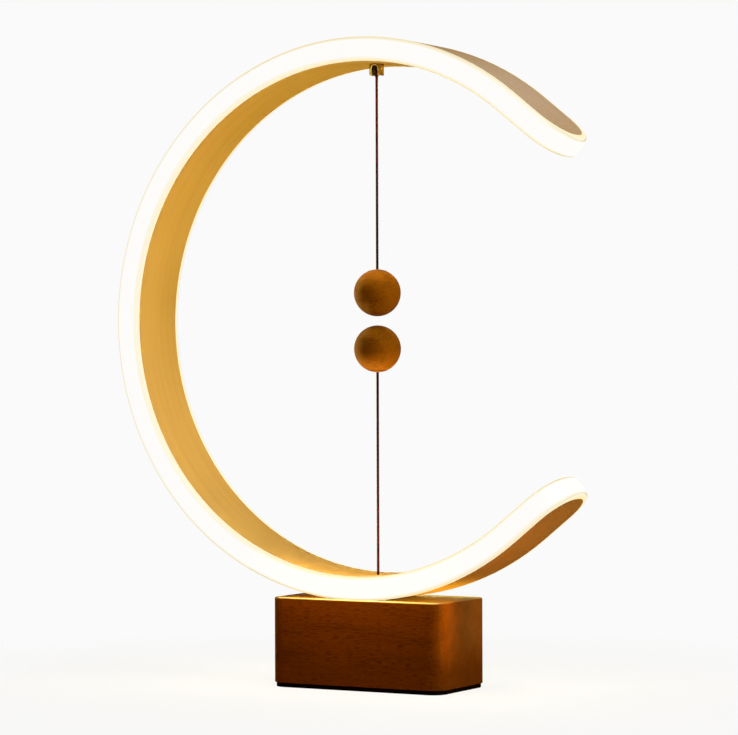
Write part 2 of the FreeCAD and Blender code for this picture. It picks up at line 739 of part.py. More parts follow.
def make_switch_plunger():
    """A disc on a stem that slides up and down in the case, drilled for the cord."""
    bottom = "Levels.disc_bottom"
    length = "Levels.stem_top - Levels.disc_bottom"
    disc = cylinder("plunger_disc", "Sizes.disc_diameter", "Sizes.disc_thickness", z=bottom)
    stem = cylinder("plunger_stem", "Sizes.stem_diameter", length, z=bottom)
    bore = cylinder("plunger_bore", "Sizes.cord_diameter + 2 * Sizes.cord_fit", length, z=bottom)
    return cut("switch_plunger", fuse("plunger_blank", [disc, stem]), [bore])


def make_switch_spring():
    """The coil spring that pushes the plunger down, squeezed between its disc and the case.

    Each half turn is half a ring, tilted so that its ends meet the next ones.
    """
    wire = size("spring_wire")
    radius = size("spring_diameter") / 2
    half_turns = int(2 * size("spring_turns"))
    rise = (size("spring_length") - 2 * wire) / half_turns
    pieces = []
    for number in range(half_turns):
        side = -1 if number % 2 else 1
        start = FreeCAD.Vector(side * radius, 0, rise * number)
        end = FreeCAD.Vector(-side * radius, 0, rise * (number + 1))
        middle = (start + end) / 2
        axis = (start - middle).cross(FreeCAD.Vector(0, side, 0))
        section = Part.Face(Part.Wire(Part.makeCircle(wire / 2, start, FreeCAD.Vector(0, 1, 0))))
        pieces.append(section.revolve(middle, axis, 180))
    spring = doc.addObject("Part::Feature", "switch_spring")
    spring.Shape = pieces[0].multiFuse(pieces[1:])
    spring.Placement = FreeCAD.Placement(FreeCAD.Vector(0, 0, size("disc_top") + wire), FreeCAD.Rotation())
    return spring


def make_switch_cord():
    """The cord inside the ring and the box: knotted under the plunger, it stands out of the ring."""
    top = "Levels.hinge_low_z - Levels.cord_socket_radius"
    knot_z = "(Levels.disc_bottom - Sizes.knot_diameter / 2)"
    cord = cylinder("switch_cord_line", "Sizes.cord_diameter", "%s - %s" % (top, knot_z), z=knot_z)
    knot = sphere("switch_cord_knot", "Sizes.knot_diameter", z=knot_z)
    return fuse("switch_cord", [cord, knot])


# ---------------------------------------------------------------- ring


def make_ring_core():
    """The bent plywood core that carries the ring."""
    inner = "Levels.core_inner + Sizes.glue_gap"
    outer = "Levels.core_outer - Sizes.glue_gap"
    band = ring_band("core_band", inner, outer, "Levels.core_inset")
    holes = [
        cord_hole("core_cord_hole", "Levels.roof_under", "3 * Sizes.ring_thickness"),
        spigot_hole("core_spigot_hole"),
    ]
    holes += screw_holes("core_screw_hole", "ring", RING_SCREW_PLACES, "up")
    return cut("ring_core", band, holes)


def make_inner_wood_strip():
    band = ring_band("inner_band", "Levels.ring_inner_radius", "Levels.core_inner", "Sizes.rim_lip")
    holes = [
        cord_hole("inner_cord_hole", "Levels.base_top", "2 * Sizes.ring_thickness"),
        spigot_hole("inner_spigot_hole"),
    ]
    return cut("inner_wood_strip", band, holes)


def make_outer_wood_strip():
    band = ring_band("outer_band", "Levels.core_outer", "Sizes.ring_outer_radius", "Sizes.rim_lip")
    holes = [cord_hole("outer_cord_hole", "Levels.roof_under", "Sizes.base_roof + Sizes.ring_thickness / 2")]
    holes += wire_holes("outer_wire_hole", "Levels.roof_under", "Sizes.base_roof + Sizes.ring_thickness / 2")
    holes += screw_holes("outer_screw_hole", "ring", RING_SCREW_PLACES, "up")
    return cut("outer_wood_strip", band, holes)


def make_rim_diffuser():
    """The opal light guide that runs all round the edge of the strip.

    Its section is a channel: a front wall and two lips, flush with the wood faces, and two legs that
    reach back under the wood to the core and leave room for the light boards between them.
    """
    solid = ring_band(
        "rim_solid", "Levels.ring_inner_radius", "Sizes.ring_outer_radius", "0", "Sizes.rim_corner_radius"
    )
    strip_inset = "Sizes.rim_lip - Sizes.glue_gap"
    inside = "Levels.ring_inner_radius - Sizes.strip_thickness"
    outside = "Sizes.ring_outer_radius + Sizes.strip_thickness"
    leg = "Sizes.lens_leg"
    tools = [
        ring_band("inner_strip_room", inside, "Levels.core_inner + Sizes.glue_gap", strip_inset),
        ring_band("outer_strip_room", "Levels.core_outer - Sizes.glue_gap", outside, strip_inset),
        ring_band("light_room", "Levels.core_inner + " + leg, "Levels.core_outer - " + leg, "Sizes.lens_wall"),
        ring_band("core_room", "Levels.core_inner", "Levels.core_outer", "Levels.core_inset - Sizes.glue_gap"),
    ]
    tools += wire_holes("rim_wire_hole", "Levels.roof_under", "Sizes.base_roof + Sizes.ring_thickness / 2")
    return cut("rim_diffuser", solid, tools)


def make_led_board(side, name):
    """A flat C-shaped board on one edge face of the core."""
    half_width = "Sizes.led_board_width / 2"
    board = ring_band(
        name, "Levels.ring_mid_radius - %s" % half_width, "Levels.ring_mid_radius + %s" % half_width,
        "Levels.core_inset", depth="Sizes.led_board_thickness",
    )
    return place(board, y="%s(Levels.core_half_depth + Sizes.led_board_thickness / 2)" % side)


def strip_point(distance, arc_end):
    """Place and direction on the middle line of the strip, from the bottom tip to the top tip."""
    radius = size("ring_mid_radius")
    half_arc = math.pi - math.radians(size("tip_angle"))
    straight = max(abs(distance) - radius * half_arc, 0)
    turn = math.copysign(min(abs(distance) / radius, half_arc), distance)
    spoke = FreeCAD.Vector(-math.cos(turn), 0, math.sin(turn))
    along = FreeCAD.Vector(math.sin(turn), 0, math.cos(turn)) * math.copysign(straight, distance)
    middle = FreeCAD.Vector(size("ring_x"), 0, size("ring_z"))
    return middle + spoke * radius + along, math.degrees(turn)


def make_leds(side, name):
    """The light-emitting chips on one board, evenly spaced along the middle of the strip."""
    half_length = size("ring_mid_radius") * (math.pi - math.radians(size("tip_angle")))
    half_length += size("tip_length") - size("core_inset") - size("led_side")
    count = int(half_length / size("led_spacing"))
    face = size("core_half_depth") + size("led_board_thickness")
    chips = []
    for number in range(-count, count + 1):
        point, turn = strip_point(number * size("led_spacing"), half_length)
        near = 0 if side > 0 else -size("led_height")
        corner = FreeCAD.Vector(-size("led_side") / 2, near, -size("led_side") / 2)
        chip = Part.makeBox(size("led_side"), size("led_height"), size("led_side"), corner)
        chip.rotate(FreeCAD.Vector(0, 0, 0), FreeCAD.Vector(0, 1, 0), turn)
        chip.translate(point + FreeCAD.Vector(0, side * face, 0))
        chips.append(chip)
    leds = doc.addObject("Part::Feature", name)
    leds.Shape = Part.makeCompound(chips)
    return leds


def make_led_wire(name):
    """The lead of one light board: from the control board up through the roof into the rim."""
    spread, chamber = [value_of(item) for item in WIRE_PLACES[name]]
    bottom = size("board_top")
    top = size("ring_z") - size("ring_mid_radius")
    if name == "led_wire_back":
        points = [FreeCAD.Vector(spread, chamber, bottom), FreeCAD.Vector(spread, chamber, top)]
    else:
        start_y = size("board_front_y") + size("wire_diameter")
        run = size("wire_run_height")
        points = [
            FreeCAD.Vector(spread, start_y, bottom),
            FreeCAD.Vector(spread, start_y, run),
            FreeCAD.Vector(spread, chamber, run),
            FreeCAD.Vector(spread, chamber, top),
        ]
    wire = doc.addObject("Part::Feature", name)
    wire.Shape = tube_along(points, size("wire_bend_radius"), size("wire_diameter"))
    return wire


def tube_along(points, bend, diameter):
    """A round tube along straight runs joined by tangent arcs at right-angled corners."""
    edges = []
    start = points[0]
    for before, corner, after in zip(points, points[1:], points[2:]):
        back = (before - corner).normalize()
        forth = (after - corner).normalize()
        first = corner + back * bend
        last = corner + forth * bend
        middle = corner + (back + forth) * (bend * (1 - math.sqrt(0.5)))
        edges += [Part.makeLine(start, first), Part.Arc(first, middle, last).toShape()]
        start = last
    edges.append(Part.makeLine(start, points[-1]))
    path = Part.Wire(edges)
    direction = (points[1] - points[0]).normalize()
    section = Part.Wire(Part.makeCircle(diameter / 2, points[0], direction))
    return path.makePipeShell([section], True, False)


# ---------------------------------------------------------------- hook under the top of the ring


def make_hook_block():
    """A small wooden block with an arched slot through it and a spigot glued into the ring."""
    under = "Levels.hook_under"
    block = box("hook_blank", "Sizes.hook_width", "Sizes.hook_depth", "2 * Sizes.hook_height", z=under)
    ring_inside = cross_cylinder(
        "ring_inside", "2 * Levels.ring_inner_radius", "Sizes.ring_depth", "Y",
        "Levels.ring_x", "0", "Levels.ring_z",
    )
    roof = "(Sizes.hook_height - Sizes.slot_height)"
    spigot = cylinder(
        "hook_spigot", "Sizes.hook_spigot_diameter", "Sizes.hook_spigot_length + %s / 2" % roof,
        z="Levels.inner_top - %s / 2" % roof,
    )
    slot_depth = "2 * Sizes.hook_depth"
    slot = box("slot_legs", "Sizes.slot_width", slot_depth, "Levels.pin_z - Levels.hook_under", z=under)
    arch = cross_cylinder("slot_arch", "Sizes.slot_width", slot_depth, "Y", z="Levels.pin_z")
    pin_hole = cross_cylinder("pin_hole", "Sizes.pin_diameter", "2 * Sizes.hook_width", "X", z="Levels.pin_z")
    whole = fuse("hook_whole", [common("hook_fitted", block, ring_inside), spigot])
    return cut("hook_block", whole, [slot, arch, pin_hole])


def make_hook_pin():
    return cross_cylinder("hook_pin", "Sizes.pin_diameter", "Sizes.hook_width", "X", z="Levels.pin_z")


def make_upper_cord_loop():
    """The loop of cord round the pin, whipped into a bead that holds the hanging cord."""
    loop = doc.addObject("Part::Torus", "loop_turn")
    loop.Placement = FreeCAD.Placement(FreeCAD.Vector(0, 0, 0), TURN_TO_X)
    bind(loop, Radius1="Levels.loop_radius", Radius2="Sizes.loop_cord_diameter / 2")
    place(loop, z="Levels.pin_z")
    bead = sphere("loop_bead", "Sizes.bead_diameter", z="Levels.bead_z")
    socket = sphere("bead_socket", "2 * Levels.cord_socket_radius", z="Levels.upper_flex_z")
    return cut("upper_cord_loop", fuse("loop_with_bead", [loop, bead]), [socket])


# ---------------------------------------------------------------- balls


# Each ball: its name, the side of the pole where its cord enters, and where that cord bends
BALLS = [
    ("upper", "+", "Levels.upper_flex_z"),
    ("lower", "-", "Levels.hinge_high_z"),
]


def ball_pole(ball, direction):
    """Height of the pole where the cord enters: the top of the upper ball, the bottom of the lower."""
    return "(Levels.%s_ball_z %s Levels.ball_radius)" % (ball, direction)


def from_pole(ball, direction, near, far):
    """Bottom and length of a stretch between two depths under the cord's pole."""
    pole = ball_pole(ball, direction)
    bottom = "%s - (%s)" % (pole, far) if direction == "+" else "%s + (%s)" % (pole, near)
    return bottom, "(%s) - (%s)" % (far, near)


def make_ball(ball, direction):
    """A wooden ball, bored from the cord's pole for the magnet."""
    whole = sphere(ball + "_ball_blank", "Sizes.ball_diameter", z="Levels.%s_ball_z" % ball)
    bottom, length = from_pole(ball, direction, "-Sizes.ball_floor", "Levels.pocket_length")
    bore = cylinder(ball + "_ball_bore", "Sizes.plug_diameter", length, z=bottom)
    return cut(ball + "_ball", whole, [bore])


def make_plug(ball, direction):
    """The wooden plug that closes the bore, domed like the ball and drilled for the cord."""
    dome = sphere(ball + "_plug_dome", "Sizes.ball_diameter", z="Levels.%s_ball_z" % ball)
    bottom, length = from_pole(ball, direction, "0", "Sizes.plug_length")
    rod = cylinder(ball + "_plug_rod", "Sizes.plug_diameter - 2 * Sizes.plug_fit", length, z=bottom)
    hole = cylinder(ball + "_plug_hole", "Sizes.cord_diameter + 2 * Sizes.cord_fit", length, z=bottom)
    return cut(ball + "_ball_plug", common(ball + "_plug_body", dome, rod), [hole])


def make_magnet(ball, direction):
    far = "Levels.pocket_length"
    bottom, length = from_pole(ball, direction, far + " - Sizes.magnet_length", far)
    return cylinder(ball + "_magnet", "Sizes.plug_diameter - 2 * Sizes.plug_fit", length, z=bottom)


def make_ball_cord(ball, direction, hinge):
    """A taut cord from its flexing point to the knot behind the plug. Its end at the hinge is domed."""
    pole = ball_pole(ball, direction)
    inward = "-" if direction == "+" else "+"
    knot_z = "(%s %s (Sizes.plug_length + Sizes.knot_diameter / 2))" % (pole, inward)
    low, high = (knot_z, hinge) if direction == "+" else (hinge, knot_z)
    line = cylinder(ball + "_cord_line", "Sizes.cord_diameter", "%s - %s" % (high, low), z=low)
    end = sphere(ball + "_cord_end", "Sizes.cord_diameter", z=hinge)
    knot = sphere(ball + "_cord_knot", "Sizes.knot_diameter", z=knot_z)
    return fuse(ball + "_cord", [line, end, knot])


def make_lower_cord_foot():
    """The short stretch of cord that bends where the lower cord comes out of the ring."""
    top = "Levels.hinge_high_z - Levels.cord_socket_radius"
    line = cylinder("foot_line", "Sizes.cord_diameter", "%s - Levels.hinge_low_z" % top, z="Levels.hinge_low_z")
    end = sphere("foot_end", "Sizes.cord_diameter", z="Levels.hinge_low_z")
    return fuse("lower_cord_foot", [line, end])


# ---------------------------------------------------------------- assembly


def make_nodes():
    """Every sub-part of the lamp, in the order in which it would be put together."""
    nodes = [
        make_base_body(),
        make_bottom_plate(),
        make_foot_mat(),
        screws("bottom_screws", "bottom", POST_PLACES, "up", flat=True),
        make_ballast(),
        screws("ballast_screws", "ballast", BALLAST_SCREW_PLACES, "up", flat=True),
        make_control_board(),
        make_board_parts(),
        screws("board_screws", "board", STANDOFF_PLACES, "down"),
        make_usb_socket(),
        make_switch_case(),
        make_switch_cap(),
        make_switch_contacts(),
        screws("switch_screws", "switch", SWITCH_SCREW_PLACES, "up"),
        make_switch_plunger(),
        make_switch_spring(),
        make_switch_cord(),
        make_ring_core(),
        make_inner_wood_strip(),
        make_outer_wood_strip(),
        make_rim_diffuser(),
        make_led_board("-", "led_board_front"),
        make_led_board("", "led_board_back"),
        make_leds(-1, "leds_front"),
        make_leds(1, "leds_back"),
        make_led_wire("led_wire_front"),
        make_led_wire("led_wire_back"),
        screws("ring_screws", "ring", RING_SCREW_PLACES, "up"),
        make_hook_block(),
        make_hook_pin(),
        make_upper_cord_loop(),
        make_lower_cord_foot(),
    ]
    for ball, direction, hinge in BALLS:
        nodes.append(make_ball(ball, direction))
        nodes.append(make_plug(ball, direction))
        nodes.append(make_magnet(ball, direction))
        nodes.append(make_ball_cord(ball, direction, hinge))
    return nodes


def check(nodes):
    """Stops if an object failed or a sub-part's shape is missing or broken."""
    for item in doc.Objects:
        if "Invalid" in item.State or "Error" in item.State:
            raise RuntimeError("%s failed: %s" % (item.Label, item.State))
    for node in nodes:
        if node.Shape.isNull() or not node.Shape.isValid():
            raise RuntimeError("%s has no valid shape" % node.Label)
        if not node.Shape.Solids:
            raise RuntimeError("%s has no solid" % node.Label)


nodes = make_nodes()
doc.recompute()
check(nodes)
os.makedirs("parts", exist_ok=True)
for node in nodes:
    node.Shape.exportStep("parts/%s.step" % node.Label)
    print("%-20s %d solid(s), %10.2f mm3" % (node.Label, len(node.Shape.Solids), node.Shape.Volume))
for name in ("ring_z", "roof_under", "socket_z", "pin_z", "upper_flex_z", "hinge_low_z", "hinge_high_z"):
    print("%s %.4f" % (name, size(name)))
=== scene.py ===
import json
import math

import bpy
from bpy.props import FloatProperty, FloatVectorProperty, IntProperty, PointerProperty
from mathutils import Matrix, Vector


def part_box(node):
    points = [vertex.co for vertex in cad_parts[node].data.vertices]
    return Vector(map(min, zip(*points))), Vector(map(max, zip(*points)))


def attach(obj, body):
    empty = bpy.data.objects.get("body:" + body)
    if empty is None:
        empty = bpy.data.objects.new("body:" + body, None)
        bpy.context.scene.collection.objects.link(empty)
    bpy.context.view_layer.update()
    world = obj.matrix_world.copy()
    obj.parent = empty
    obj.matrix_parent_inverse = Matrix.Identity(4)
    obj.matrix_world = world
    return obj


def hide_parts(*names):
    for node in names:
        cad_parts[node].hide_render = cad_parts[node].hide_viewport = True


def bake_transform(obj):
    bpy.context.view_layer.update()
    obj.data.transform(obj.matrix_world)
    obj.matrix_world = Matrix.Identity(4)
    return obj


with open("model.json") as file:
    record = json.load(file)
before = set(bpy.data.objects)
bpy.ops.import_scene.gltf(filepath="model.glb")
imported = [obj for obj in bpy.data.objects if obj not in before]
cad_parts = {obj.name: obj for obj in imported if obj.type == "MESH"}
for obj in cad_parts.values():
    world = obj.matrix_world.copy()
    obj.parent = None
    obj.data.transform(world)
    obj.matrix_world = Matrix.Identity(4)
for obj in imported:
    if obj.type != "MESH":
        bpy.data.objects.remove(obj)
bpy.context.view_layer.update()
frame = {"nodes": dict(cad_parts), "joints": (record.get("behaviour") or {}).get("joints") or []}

bl_info = {
    "name": "Magnetic Balance Lamp",
    "version": (1, 0, 0),
    "blender": (4, 5, 0),
    "location": "3D View > Sidebar > Balance Lamp",
    "description": "Dresses the balance lamp's solids in wood, cord, opal plastic and metal",
    "category": "Object",
}

MM = 0.001
# Height of each hinge over the table
HINGE = {joint["name"]: joint["pos_m"][2] for joint in frame["joints"] if joint["type"] == "hinge"}


# ---------------------------------------------------------------- small tools

def colour(code):
    """An sRGB hex colour as linear red, green, blue and alpha."""
    channels = [int(code[i:i + 2], 16) / 255 for i in (1, 3, 5)]
    linear = [c / 12.92 if c <= 0.04045 else ((c + 0.055) / 1.055) ** 2.4 for c in channels]
    return (*linear, 1.0)


def add(tree, kind, links=None, stops=None, **settings):
    """Adds a node with its settings. links gives each input a socket to join or a value to hold."""
    node = tree.nodes.new(kind)
    for name, value in settings.items():
        setattr(node, name, value)
    for key, value in (links or {}).items():
        if isinstance(value, bpy.types.NodeSocket):
            tree.links.new(value, node.inputs[key])
        else:
            node.inputs[key].default_value = value
    for number, (place, tone) in enumerate(stops or ()):
        ramp = node.color_ramp.elements
        stop = ramp[number] if number < 2 else ramp.new(place)
        stop.position, stop.color = place, tone
    return node


def bare_tree(owner):
    """The node tree of a material or a world, emptied."""
    owner.use_nodes = True
    owner.node_tree.nodes.clear()
    return owner.node_tree


def material(name, **surface):
    """A new material, its node tree and its Principled shader with the surface's plain values."""
    made = bpy.data.materials.new(name)
    tree = bare_tree(made)
    shader = add(tree, "ShaderNodeBsdfPrincipled")
    for key, value in surface.items():
        shader.inputs[key.replace("_", " ")].default_value = value
    add(tree, "ShaderNodeOutputMaterial", {"Surface": shader.outputs[0]})
    return made, tree, shader


def shaded(tone, factor):
    """A linear colour made darker or lighter."""
    return (*(min(1.0, c * factor) for c in tone[:3]), 1)


def wear(node_names, made):
    """Gives CAD nodes a material."""
    for name in node_names:
        mesh = frame["nodes"][name].data
        mesh.materials.clear()
        mesh.materials.append(made)


def new_mesh(name, points, faces, edges=(), made=None):
    """A mesh object of these points, faces and loose edges, in a material where one is given."""
    mesh = bpy.data.meshes.new(name)
    mesh.from_pydata([tuple(p) for p in points], list(edges), faces)
    mesh.update()
    piece = bpy.data.objects.new(name, mesh)
    bpy.context.scene.collection.objects.link(piece)
    if made is not None:
        mesh.materials.append(made)
    return piece


def path_mesh(name, points, closed):
    """The points joined in a line, which comes back to its start where it is closed."""
    edges = [(i, i + 1) for i in range(len(points) - 1)]
    if closed:
        edges.append((len(points) - 1, 0))
    return new_mesh(name + "_path", points, [], edges)


def round_turns(count):
    """Equally spaced angles round a circle."""
    return [math.tau * i / count for i in range(count)]


def settled(piece, name):
    """The piece's mesh after its modifiers, as a plain mesh object at the origin."""
    view = bpy.context.evaluated_depsgraph_get()
    mesh = bpy.data.meshes.new_from_object(piece.evaluated_get(view))
    bpy.data.objects.remove(piece)
    plain = bpy.data.objects.new(name, mesh)
    mesh.name = name
    bpy.context.scene.collection.objects.link(plain)
    return plain


def grow(piece, tree, values):
    """Puts a Geometry Nodes tree on a piece, with its inputs set by the sockets' identifiers."""
    modifier = piece.modifiers.new(tree.name, "NODES")
    modifier.node_group = tree
    for item in tree.interface.items_tree:
        if item.item_type == "SOCKET" and item.in_out == "INPUT" and item.name in values:
            modifier[item.identifier] = values[item.name]
    return piece


def geometry_tree(name, sockets):
    """A Geometry Nodes tree with a geometry input and output and the named inputs."""
    tree = bpy.data.node_groups.new(name, "GeometryNodeTree")
    tree.interface.new_socket("Geometry", in_out="INPUT", socket_type="NodeSocketGeometry")
    tree.interface.new_socket("Geometry", in_out="OUTPUT", socket_type="NodeSocketGeometry")
    for label, kind in sockets:
        tree.interface.new_socket(label, in_out="INPUT", socket_type="NodeSocket" + kind)
    return tree, add(tree, "NodeGroupInput").outputs


def give_out(tree, shape, made):
    """Ends a Geometry Nodes tree with its shape, in its material."""
    shape = add(tree, "GeometryNodeRealizeInstances", {0: shape}).outputs[0]
    shape = add(tree, "GeometryNodeSetMaterial", {0: shape, "Material": made}).outputs[0]
    add(tree, "NodeGroupOutput", {0: shape})


# ---------------------------------------------------------------- what a user may change

class LampSizes(bpy.types.PropertyGroup):
    """Sizes of the cords and the mat"""
    cord: FloatProperty(
        name="Cord", description="Diameter of the two hanging cords",
        default=1.6 * MM, unit="LENGTH")
    lay: FloatProperty(
        name="Lay", description="Length of one full twist of the cord's strands",
        default=5.2 * MM, unit="LENGTH")
    strands: IntProperty(
        name="Strands", description="Strands twisted into one cord", default=4, min=2, max=8)
    ribs: FloatProperty(
        name="Rib spacing", description="Spacing of the ribs under the rubber mat",
        default=4.0 * MM, unit="LENGTH")


class LampColours(bpy.types.PropertyGroup):
    """Colours of the wood, the cords and the rim's light"""
    walnut: FloatVectorProperty(
        name="Walnut", description="Oiled walnut of the base", subtype="COLOR", size=4,
        min=0, max=1, default=colour("#633404"))
    veneer: FloatVectorProperty(
        name="Veneer", description="Amber wood strips of the ring", subtype="COLOR", size=4,
        min=0, max=1, default=colour("#C4A36C"))
    ball: FloatVectorProperty(
        name="Balls", description="Turned wood of the balls", subtype="COLOR", size=4,
        min=0, max=1, default=colour("#865006"))
    cord: FloatVectorProperty(
        name="Cord", description="Waxed cotton of the cords", subtype="COLOR", size=4,
        min=0, max=1, default=colour("#401004"))
    rim: FloatVectorProperty(
        name="Rim light", description="Light of the opal rim", subtype="COLOR", size=4,
        min=0, max=1, default=colour("#FFFEFC"))


def sizes():
    return bpy.context.scene.balance_lamp_sizes


def colours():
    return bpy.context.scene.balance_lamp_colours


# ---------------------------------------------------------------- finishes

# The ring's centre, its rim's inner and outer radius and half its depth
RING_X, RING_Z = -4 * MM, 225.5 * MM
RING_INNER, RING_OUTER, RING_HALF = 156.9 * MM, 171.5 * MM, 25.5 * MM
RIM_FILLET = 3.1 * MM
# Past this turn the tips run straight, and past this length of them their ends are round
TIP_TURN, TIP_ROUND = math.radians(51), 21.5 * MM


def bent_place(tree):
    """Object coordinates unrolled along the ring: length along the arc, depth, radius."""
    here = add(tree, "ShaderNodeTexCoord").outputs["Object"]
    part = add(tree, "ShaderNodeSeparateXYZ", {0: here}).outputs
    x = add(tree, "ShaderNodeMath", {0: part[0], 1: RING_X}, operation="SUBTRACT").outputs[0]
    z = add(tree, "ShaderNodeMath", {0: part[2], 1: RING_Z}, operation="SUBTRACT").outputs[0]
    # The seam of the angle is on the open side of the ring, where there is no wood
    back = add(tree, "ShaderNodeMath", {0: x, 1: -1.0}, operation="MULTIPLY").outputs[0]
    turn = add(tree, "ShaderNodeMath", {0: z, 1: back}, operation="ARCTAN2").outputs[0]
    along = add(tree, "ShaderNodeMath", {0: turn, 1: RING_INNER}, operation="MULTIPLY").outputs[0]
    flat = add(tree, "ShaderNodeCombineXYZ", {0: x, 1: 0.0, 2: z}).outputs[0]
    out = add(tree, "ShaderNodeVectorMath", {0: flat}, operation="LENGTH").outputs["Value"]
    return add(tree, "ShaderNodeCombineXYZ", {0: along, 1: part[1], 2: out}).outputs[0]


def wood(name, tone, streak, line, contrast, place=None, pore=0.35 * MM, pores=0.3, gloss=0.6,
         gleam=0.06, polish=0.0):
    """Wood with its grain along the first axis: broad streaks, fine lines and short open pores."""
    made, tree, shader = material(
        name, Roughness=gloss, Specular_IOR_Level=gleam, Specular_Tint=colour("#FFB43C"))
    place = place(tree) if place else add(tree, "ShaderNodeTexCoord").outputs["Object"]

    def stretched(length, width, detail, rough):
        grain = add(tree, "ShaderNodeMapping", {
            0: place, "Scale": (1 / length, 1 / width, 1 / width)}).outputs[0]
        return add(tree, "ShaderNodeTexNoise", {
            "Vector": grain, "Scale": 1.0, "Detail": detail, "Roughness": rough}).outputs[0]

    broad = stretched(streak * 2.5, line * 9, 3, 0.55)
    lines = stretched(streak, line, 4, 0.62)
    specks = stretched(pore * 10, pore, 2, 0.5)
    dark, light = shaded(tone, 1 - contrast), shaded(tone, 1 + 0.45 * contrast)
    pit = (dark[0] * 0.5, dark[1] * 0.45, dark[2] * 0.4, 1)
    mixed = add(tree, "ShaderNodeMix", {
        "Factor": 0.6, "A": broad, "B": lines}, data_type="FLOAT").outputs[0]
    face = add(tree, "ShaderNodeValToRGB", {0: mixed}, stops=[
        (0.34, dark), (0.66, light), (0.5, tuple(tone))]).outputs[0]
    cells = add(tree, "ShaderNodeMapRange", {
        0: specks, 1: 0.5, 2: 0.7, 3: 0.0, 4: pores}).outputs[0]
    painted = add(tree, "ShaderNodeMix", {
        "Factor": cells, "A": face, "B": pit}, data_type="RGBA").outputs[2]
    tree.links.new(painted, shader.inputs["Base Color"])
    rough = add(tree, "ShaderNodeMapRange", {
        0: mixed, 1: 0.3, 2: 0.7, 3: gloss + 0.1, 4: gloss - 0.04}).outputs[0]
    tree.links.new(rough, shader.inputs["Roughness"])
    if polish:
        # Wax is rubbed to a shine on the faces that look up
        rise = add(tree, "ShaderNodeTexCoord").outputs["Normal"]
        rise = add(tree, "ShaderNodeSeparateXYZ", {0: rise}).outputs[2]
        rubbed = add(tree, "ShaderNodeMapRange", {0: rise, 1: 0.3, 2: 0.8, 3: 0.0, 4: polish})
        tree.links.new(rubbed.outputs[0], shader.inputs["Coat Weight"])
        shader.inputs["Coat Roughness"].default_value = 0.42
        shader.inputs["Coat IOR"].default_value = 1.7
    height = add(tree, "ShaderNodeMath", {0: lines, 1: cells}, operation="SUBTRACT").outputs[0]
    relief = add(tree, "ShaderNodeBump", {
        "Height": height, "Strength": 0.5, "Distance": 0.08 * MM}).outputs[0]
    tree.links.new(relief, shader.inputs["Normal"])
    return made


